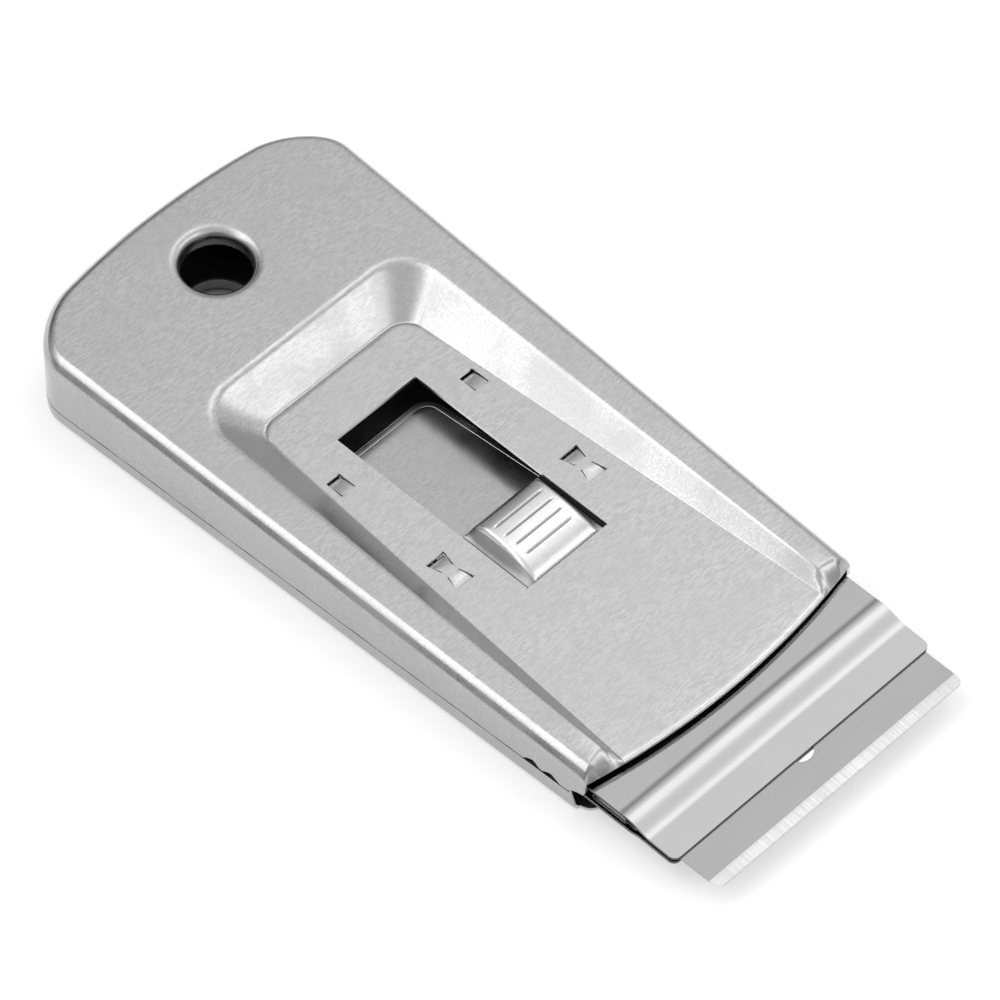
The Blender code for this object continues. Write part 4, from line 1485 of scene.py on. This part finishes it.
@dataclass
class Holder:
    """The two plates that carry the blade, with their rivets, spine and spring."""

    half: float = 20.35 * MM
    rear: float = 2.725 * MM
    lip_front: float = 48.175 * MM
    joggle_rear: float = 40.925 * MM
    joggle_length: float = 3.7 * MM
    base_joggle: float = 2.0 * MM
    clamp_top: float = 5.0 * MM
    lip_top: float = 4.165 * MM
    base_top: float = 3.05 * MM
    base_lip_top: float = 3.385 * MM
    base_setback: float = 0.1 * MM
    plate: float = 0.35 * MM
    edge: float = 0.05 * MM
    lip_corner: float = 0.9 * MM
    lip_corner_steps: int = 8
    lip_fall: float = 0.13 * MM
    ridge: float = 0.05 * MM
    ridge_length: float = 2.0 * MM
    ridge_lead: float = 0.65
    joggle_steps: int = 32
    tail_corner: float = 2.5 * MM
    tail_corner_steps: int = 12
    rivet_x: float = 18.625 * MM
    rivet_y: float = 14.6 * MM
    rivet_hole: float = 1.3 * MM
    rivet_steps: int = 32
    button_middle: float = 7.025 * MM
    leg_y: float = 8.025 * MM
    slot_half_length: float = 2.15 * MM
    slot_half_width: float = 0.325 * MM

    def build_plate(
        self, front: float, length: float, level: float, lip: float, slots: bool
    ) -> Skin:
        """Skin of a holder plate: flat tail with openings, smooth step, and lip.

        Args:
            front: Where its lip ends.
            length: Length of its step.
            level: Height of its flat part.
            lip: Height of its lip.
            slots: Whether it has slots for the button's legs.

        Returns:
            The skin.
        """
        skin = Skin()
        corner = rounded_end(self.half, self.tail_corner, self.tail_corner_steps)
        near = skin.level_ring([(self.rear + back, -width) for back, width in corner], level)
        far = skin.level_ring([(self.rear + back, width) for back, width in corner], level)
        start_x = self.joggle_rear - self.ridge_lead * self.ridge_length
        start = skin.level_ring([(start_x, -self.half), (start_x, self.half)], level)
        loops = []
        for side in (-1, 1):
            circle = []
            for step in range(self.rivet_steps):
                angle = math.pi * step / (self.rivet_steps / 2)
                x = self.rivet_x + self.rivet_hole * math.cos(angle)
                circle.append((x, side * self.rivet_y + self.rivet_hole * math.sin(angle)))
            loops.append(skin.level_ring(circle, level))
            if slots:
                length_way, width_way = self.slot_half_length, self.slot_half_width
                corners = [
                    (self.button_middle + a * length_way, side * self.leg_y + b * width_way)
                    for a, b in ((-1, -1), (1, -1), (1, 1), (-1, 1))
                ]
                loops.append(skin.level_ring(corners, level))
        skin.fill([near + [start[0]], far + [start[1]], [near[0], far[0]], start], loops)
        previous = start
        lip_rear = self.joggle_rear + length
        for step in range(1, self.joggle_steps + 1):
            x = lerp(start_x, lip_rear, step / self.joggle_steps)
            share = clamp(share_along(x, self.joggle_rear, lip_rear))
            bend = (1 - math.cos(math.pi * share)) / 2
            swell = clamp((x - start_x) / self.ridge_length)
            height = lerp(level, lip, bend) + self.ridge * math.sin(math.pi * swell) ** 2
            row = skin.level_ring([(x, -self.half), (x, self.half)], height)
            skin.bridge(previous, row)
            previous = row
        lip_end = rounded_end(self.half, self.lip_corner, self.lip_corner_steps)
        for back, width in reversed(lip_end):
            x = front - back
            fall = self.lip_fall * share_along(x, lip_rear, front)
            row = skin.level_ring([(x, -width), (x, width)], lip - fall)
            skin.bridge(previous, row)
            previous = row
        return skin

    def build(self, finishes: Finishes) -> list[Object]:
        """Builds both plates and dresses the CAD rivets, spine and spring.

        Args:
            finishes: The ready materials.

        Returns:
            The plates.
        """
        upper = self.build_plate(
            self.lip_front, self.joggle_length, self.clamp_top, self.lip_top, True
        )
        base_front = self.lip_front - self.base_setback
        lower = self.build_plate(
            base_front, self.base_joggle, self.base_top, self.base_lip_top, False
        )
        pair = (finishes["plate"], finishes["plate_cut"])
        plates = []
        for skin, name, node in (
            (upper, "clamp_sheet", "clamp_plate"), (lower, "base_sheet", "base_plate"),
        ):
            item = skin.finish(name, pair, (0, 0, 1), thickness=self.plate, edge=self.edge)
            plates.append(settle_piece(item, Body.CARRIER, Slot.HOLDER, node))
        kept = {
            "holder_rivet_near": "rivet",
            "holder_rivet_far": "rivet",
            "blade_spine": "spine",
            "leaf_spring": "spring",
        }
        for node, finish in kept.items():
            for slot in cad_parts[node].material_slots:
                slot.material = finishes[finish]
            log.info("%s keeps its CAD shape in %s", node, finish)
        return plates


@dataclass
class Blade:
    """The single-edge blade: flat body, round hole and ground edge."""

    GROUND: ClassVar[int] = 1

    rear: float = 35.525 * MM
    edge: float = 53.975 * MM
    half: float = 19.5 * MM
    bevel: float = 1.5 * MM
    corner: float = 1.0 * MM
    thickness: float = 0.23 * MM
    edge_thickness: float = 0.03 * MM
    middle: float = 3.6 * MM
    hole_x: float = 47.375 * MM
    hole_radius: float = 1.65 * MM
    hole_steps: int = 48
    corner_steps: int = 10
    corner_gap: float = 0.01 * MM
    edge_line_strips: int = 3

    def build(self, finishes: Finishes) -> list[Object]:
        """Builds the blade.

        Args:
            finishes: The ready materials.

        Returns:
            The piece.
        """
        skin = Skin()
        bevel_rear = self.edge - self.bevel
        sections = [(self.rear, self.half), (bevel_rear, self.half)]
        length = self.bevel - self.corner_gap
        corner = rounded_end(self.half, self.corner, self.corner_steps, length)
        sections += [(self.edge - back, width) for back, width in reversed(corner)]
        rings = []
        for x, width in sections:
            share = clamp(share_along(x, bevel_rear, self.edge))
            thick = lerp(self.thickness, self.edge_thickness, share) / 2
            corners = ((-width, -thick), (width, -thick), (width, thick), (-width, thick))
            rings.append([skin.bm.verts.new((x, y, self.middle + z)) for y, z in corners])
        body, bevel = rings[0], rings[1]
        skin.bm.faces.new(body)
        holes = []
        for way in (1, -1):
            level = self.middle + way * self.thickness / 2
            holes.append(skin.circle(self.hole_x, self.hole_radius, lambda x: level, self.hole_steps))
        for low, high, hole in ((2, 3, holes[0]), (0, 1, holes[1])):
            skin.fill([], [[body[low], body[high], bevel[high], bevel[low]], hole])
        skin.bridge_loop(holes[0], holes[1])
        skin.bm.faces.new((body[1], body[2], bevel[2], bevel[1]))
        skin.bm.faces.new((body[3], body[0], bevel[0], bevel[3]))
        # The last strips along the cutting edge take the darker blade steel instead of the ground
        # finish, which draws a thin grey line along the edge.
        strips = list(zip(rings[1:], rings[2:]))
        for i, (first, second) in enumerate(strips):
            ground = i < len(strips) - self.edge_line_strips
            skin.bridge_loop(first, second, index=self.GROUND if ground else 0)
        skin.bm.faces.new(rings[-1]).material_index = self.GROUND
        pair = (finishes["blade"], finishes["ground"])
        item = skin.finish("blade_steel", pair, (0, 0, 1), smooth=20.0)
        return [settle_piece(item, Body.CARRIER, Slot.BLADE, "blade")]


@dataclass
class ThumbButton:
    """The domed cap with four cross grooves, its wings and its bent legs."""

    PAINTED_SHADE: ClassVar[int] = 1
    WING: ClassVar[int] = 2
    SLACK: ClassVar[float] = 1e-7

    rear: float = 1.925 * MM
    length: float = 10.2 * MM
    half: float = 5.9 * MM
    top_half: float = 4.3 * MM
    wing_half: float = 8.2 * MM
    wing_top: float = 5.9 * MM
    crown: float = 2.1 * MM
    plate: float = 0.2 * MM
    grooves: int = 4
    pitch: float = 1.58 * MM
    apex: float = 0.27
    arch_spread: float = 2.4
    arch_round: float = 0.7
    groove_width: float = 0.4 * MM
    groove_depth: float = 0.1 * MM
    groove_half: float = 3.75 * MM
    groove_fade: float = 0.6 * MM
    shaded_groove_depth: float = 0.3
    shaded_side: float = 0.7
    moat: float = 0.2 * MM
    moat_width: float = 0.2 * MM
    leg_length: float = 4.0 * MM
    leg_bottom: float = 4.05 * MM
    length_steps: int = 170
    top_steps: int = 16
    side_steps: int = 12
    gap_run: float = 0.6 * MM
    gap_steps: int = 6

    def rise(self, x: float) -> float:
        """Height of the arch above the wings.

        Args:
            x: The place along X.

        Returns:
            The height.
        """
        share = share_along(x, self.rear, self.rear + self.length)
        reach = self.apex if share < self.apex else 1 - self.apex
        away = min(1.0, abs(share - self.apex) / reach)
        return self.crown * (1 - away**self.arch_spread) ** self.arch_round

    def groove(self, x: float, y: float) -> float:
        """Depth of the grooves at a point.

        Args:
            x: The place along X.
            y: The place along Y.

        Returns:
            The depth.
        """
        first = self.rear + self.length / 2 - self.pitch * (self.grooves - 1) / 2
        depth = 0.0
        for i in range(self.grooves):
            away = abs(x - first - self.pitch * i) / (self.groove_width / 2)
            if away < 1:
                depth = self.groove_depth * (1 + math.cos(math.pi * away)) / 2
        fade = clamp((self.groove_half - abs(y)) / self.groove_fade)
        return depth * ease(fade)

    def side(self, y: float) -> float:
        """Share of the arch's height that is left at y."""
        share = clamp(share_along(abs(y), self.top_half, self.half))
        return (1 + math.cos(math.pi * share)) / 2

    def gap(self, y: float) -> float:
        """Depth of the dip between the arch and the wing, which leaves a dark line."""
        away = (abs(y) - self.half - self.moat_width) / self.moat_width
        return self.moat * math.exp(-(away**2))

    def build(self, finishes: Finishes) -> list[Object]:
        """Builds the button.

        Args:
            finishes: The ready materials.

        Returns:
            The piece.
        """
        skin = Skin()
        middle = self.rear + self.length / 2
        legs = (middle - self.leg_length / 2, middle + self.leg_length / 2)
        steps = self.length_steps
        xs = sorted({*(self.rear + self.length * i / steps for i in range(steps + 1)), *legs})
        side = [self.top_half * i / self.top_steps for i in range(self.top_steps + 1)]
        for start, end, steps in (
            (self.top_half, self.half, self.side_steps),
            (self.half, self.half + self.gap_run, self.gap_steps),
        ):
            side += [lerp(start, end, i / steps) for i in range(1, steps + 1)]
        side.append(self.wing_half)
        ys = [-y for y in reversed(side[1:])] + side
        rows = []
        for y in ys:
            row = []
            for x in xs:
                arch = self.rise(x) * self.side(y)
                sunk = self.groove(x, y) + self.gap(y)
                row.append(skin.bm.verts.new((x, y, self.wing_top + arch - sunk)))
            rows.append(row)
        for first, second in zip(rows, rows[1:]):
            skin.bridge(first, second)
        # Faces deep in a groove or on the steep ends of the arch take the darker copy as painted shade;
        # the wings take the near-black copy as painted shadow of the gap round the button.
        for face in skin.bm.faces:
            point = face.calc_center_median()
            grooved = self.groove(point.x, point.y) > self.shaded_groove_depth * self.groove_depth
            if abs(point.y) > self.half:
                face.material_index = self.WING
            elif grooved or self.side(point.y) < self.shaded_side:
                face.material_index = self.PAINTED_SHADE
        for row in (rows[0], rows[-1]):
            top = [v for v in row if legs[0] - self.SLACK <= v.co.x <= legs[1] + self.SLACK]
            bottom = [skin.bm.verts.new((v.co.x, v.co.y, self.leg_bottom)) for v in top]
            skin.bridge(top, bottom)
        item = skin.finish(
            "button_cap",
            [finishes[key] for key in ("button", "button_groove", "button_gap", "button_cut")],
            (0, 0, 1),
            thickness=self.plate,
            smooth=60.0,
        )
        return [settle_piece(item, Body.BUTTON, Slot.BUTTON, "thumb_button")]


@dataclass(frozen=True)
class Card:
    """A soft rectangle on a ceiling 1 above the object, brighter or darker than the dome."""

    x: tuple[float, float]
    y: tuple[float, float]
    soft: tuple[float, float]
    glow: float


@dataclass
class Studio:
    """The floor, the soft light and the camera."""

    lens: float = 288.0
    sensor: float = 36.0
    view_from: float = 0.01
    view_to: float = 20.0
    floor_size: float = 6.0
    floor_level: float = -0.05 * MM
    floor_grey: float = 0.64
    # The floor's lift fades out over this box and its edge: painted shade under and beside the body.
    painted_shade_middle: tuple[float, float] = (-8.5 * MM, 0.0)
    painted_shade_half: tuple[float, float] = (34.0 * MM, 10.0 * MM)
    painted_shade_fade: tuple[float, float] = (8.0 * MM, 10.5 * MM)
    open_glow: float = 0.4
    # A patch of painted light on the floor below the blade's hole, where the floor lies in the blade's
    # shadow.
    painted_light_middle: tuple[float, float] = (46.9 * MM, 2.3 * MM)
    painted_light_edge: tuple[float, float] = (4.0 * MM, 2.5 * MM)
    painted_light_glow: float = 0.5
    dome_rise: float = 0.5
    dome_range: tuple[float, float] = (0.2, 0.88)
    dome_least: float = 0.05
    horizon: float = 0.02
    lamp_way: tuple[float, float, float] = (-0.45, -0.45, 0.77)
    lamp_reach: float = 1.2
    lamp_size: tuple[float, float] = (0.7, 0.6)
    lamp_glow: float = 0.4
    right: tuple[float, float, float] = (0.7139, 0.7003, 0.0)
    up: tuple[float, float, float] = (-0.5518, 0.5625, 0.6157)
    back: tuple[float, float, float] = (0.4312, -0.4395, 0.7880)
    offset: tuple[float, float, float] = (13.68 * MM, -10.2 * MM, 896.5 * MM)
    target: tuple[float, float, float] = (-17.375 * MM, 0.0, 6.4 * MM)
    cards: tuple[Card, ...] = (
        Card((-0.95, -0.15), (-3.4, 0.0), (0.15, 0.1), 0.9),
        Card((-0.55, 0.0), (-3.4, 0.0), (0.12, 0.1), 0.5),
        Card((0.8, 1.7), (0.0, 2.4), (0.2, 0.25), 1.2),
        Card((0.9, 4.0), (-4.0, -0.9), (0.4, 0.3), -0.6),
        Card((-9.0, 0.5), (1.3, 80.0), (0.4, 0.3), 0.3),
        Card((-0.5, 0.36), (0.2, 1.2), (0.12, 0.15), 0.45),
        Card((-0.28, 0.08), (0.25, 1.1), (0.15, 0.1), 0.7),
        Card((0.7, 6.0), (2.6, 40.0), (0.3, 0.5), 0.5),
        Card((-1.2, -0.65), (0.2, 1.6), (0.05, 0.2), -0.35),
        Card((-9.0, -1.2), (-0.6, 3.5), (0.3, 0.5), -0.45),
    )

    def build_camera(self) -> None:
        """Puts the camera at the photograph's place."""
        data = bpy.data.cameras.new("camera")
        camera = place_object("camera", data)
        data.sensor_width = self.sensor
        data.lens = self.lens
        data.clip_start = self.view_from
        data.clip_end = self.view_to
        axes = [Vector(axis).normalized() for axis in (self.right, self.up, self.back)]
        place = Vector(self.target)
        for axis, reach in zip(axes, self.offset):
            place += axis * reach
        matrix = Matrix(axes).transposed().to_4x4()
        matrix.translation = place
        camera.matrix_world = matrix
        bpy.context.scene.camera = camera

    @staticmethod
    def distance(desk: Desk, place: Node, middle: Sequence[float], half: Sequence[float]) -> NodeSocket:
        """How far a place on the floor lies from a rectangle.

        Args:
            desk: The floor material's desk.
            place: The separated place.
            middle: The rectangle's middle.
            half: Its half sizes, or zeros for a point.

        Returns:
            The distance's socket.
        """
        squares = []
        for axis, centre, reach in zip("XY", middle, half):
            gap = desk.math("ABSOLUTE", desk.math("SUBTRACT", place.outputs[axis], centre))
            beyond = desk.math("MAXIMUM", desk.math("SUBTRACT", gap, reach), 0.0)
            squares.append(desk.math("POWER", beyond, 2.0))
        return desk.math("SQRT", desk.math("ADD", *squares))

    def paint_floor(self) -> Material:
        """Makes the floor's material: pale, and brighter away from the body and below the blade's hole.
        The lift that fades out near the body is painted shade, and the patch below the hole is painted
        light.

        Returns:
            The material.
        """
        material = bpy.data.materials.new("pale_floor")
        material.use_nodes = True
        desk = Desk(material.node_tree)
        material.node_tree.nodes.clear()
        paper = desk.add("ShaderNodeBsdfDiffuse")
        paper.inputs["Color"].default_value = (self.floor_grey, self.floor_grey, self.floor_grey, 1.0)
        lift = desk.add("ShaderNodeEmission")
        path = desk.add("ShaderNodeLightPath")
        seen = desk.math("ADD", path.outputs["Is Camera Ray"], path.outputs["Is Glossy Ray"])
        seen = desk.math("ADD", seen, path.outputs["Is Transmission Ray"], clamped=True)
        place = desk.add("ShaderNodeSeparateXYZ")
        desk.link(desk.add("ShaderNodeNewGeometry").outputs["Position"], place.inputs[0])
        # Painted shade where the lift fades near the body, painted light where it rises below the
        # blade's hole.
        from_painted_shade = self.distance(desk, place, self.painted_shade_middle, self.painted_shade_half)
        from_painted_light = self.distance(desk, place, self.painted_light_middle, (0.0, 0.0))
        around = desk.math("MULTIPLY", desk.window(from_painted_shade, *self.painted_shade_fade), self.open_glow)
        below = desk.math("MULTIPLY", desk.window(from_painted_light, *self.painted_light_edge), self.painted_light_glow)
        glow = desk.math("ADD", around, below)
        desk.link(desk.math("MULTIPLY", seen, glow), lift.inputs["Strength"])
        both = desk.add("ShaderNodeAddShader")
        desk.link(paper.outputs[0], both.inputs[0])
        desk.link(lift.outputs[0], both.inputs[1])
        desk.link(both.outputs[0], desk.add("ShaderNodeOutputMaterial").inputs["Surface"])
        return material

    def build_floor(self) -> None:
        """Lays a pale floor that keeps the object's shadow, with painted shade round the body and
        painted light below the blade's hole.
        """
        bm = bmesh.new()
        bmesh.ops.create_grid(bm, x_segments=8, y_segments=8, size=self.floor_size / 2)
        mesh = bpy.data.meshes.new("floor")
        bm.to_mesh(mesh)
        bm.free()
        floor = place_object("floor", mesh)
        floor.location.z = self.floor_level
        mesh.materials.append(self.paint_floor())
        floor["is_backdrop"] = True

    def build_world(self) -> None:
        """A soft studio dome, pale above and darker low down, with its brighter and darker cards."""
        world = bpy.data.worlds.new("studio")
        bpy.context.scene.world = world
        world.use_nodes = True
        desk = Desk(world.node_tree)
        background = world.node_tree.nodes["Background"]
        background.inputs["Color"].default_value = (1.0, 1.0, 1.0, 1.0)
        way = desk.add("ShaderNodeTexCoord").outputs["Generated"]
        parts = desk.add("ShaderNodeSeparateXYZ")
        desk.link(way, parts.inputs[0])
        level = desk.spread(desk.window(parts.outputs["Z"], 0.0, self.dome_rise), *self.dome_range)
        height = desk.math("MAXIMUM", parts.outputs["Z"], self.horizon)
        over = [desk.math("DIVIDE", parts.outputs[axis], height) for axis in "XY"]
        for card in self.cards:
            mask = 1.0
            for place, (start, end), soft in zip(over, (card.x, card.y), card.soft):
                rise = desk.window(place, start - soft, start + soft)
                fall = desk.window(place, end + soft, end - soft)
                mask = desk.math("MULTIPLY", desk.math("MULTIPLY", rise, fall), mask)
            level = desk.math("ADD", level, desk.math("MULTIPLY", mask, card.glow))
        desk.link(desk.math("MAXIMUM", level, self.dome_least), background.inputs["Strength"])

    def build_lamp(self) -> None:
        """A softbox on the near side that faces the object."""
        data = bpy.data.lights.new("near_softbox", "AREA")
        data.shape = "RECTANGLE"
        width, height = self.lamp_size
        data.size, data.size_y = width, height
        data.energy = self.lamp_glow * math.pi * width * height
        lamp = place_object("near_softbox", data)
        direction = Vector(self.lamp_way).normalized()
        lamp.location = direction * self.lamp_reach
        lamp.rotation_mode = "QUATERNION"
        lamp.rotation_quaternion = direction.to_track_quat("Z", "Y")

    def build(self) -> None:
        """Builds the whole studio."""
        self.build_camera()
        self.build_floor()
        self.build_world()
        self.build_lamp()
        bpy.context.scene.view_settings.view_transform = "Standard"


def main() -> None:
    """Builds the scraper and its studio, piece by piece."""
    logging.basicConfig(level=logging.INFO, format="%(name)s: %(message)s")
    finishes = Finishes(Effects())
    plan = BodyPlan()
    for maker in (TopCover(plan), Tray(plan), Holder(), Blade(), ThumbButton()):
        for piece in maker.build(finishes):
            log.info("%s is ready with %d faces", piece.name, len(piece.data.polygons))
    Studio().build()
    log.info("studio is ready")
    boxes = [[list(corner) for corner in box] for box in (CAD_BOX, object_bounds())]


if __name__ == "__main__":
    main()
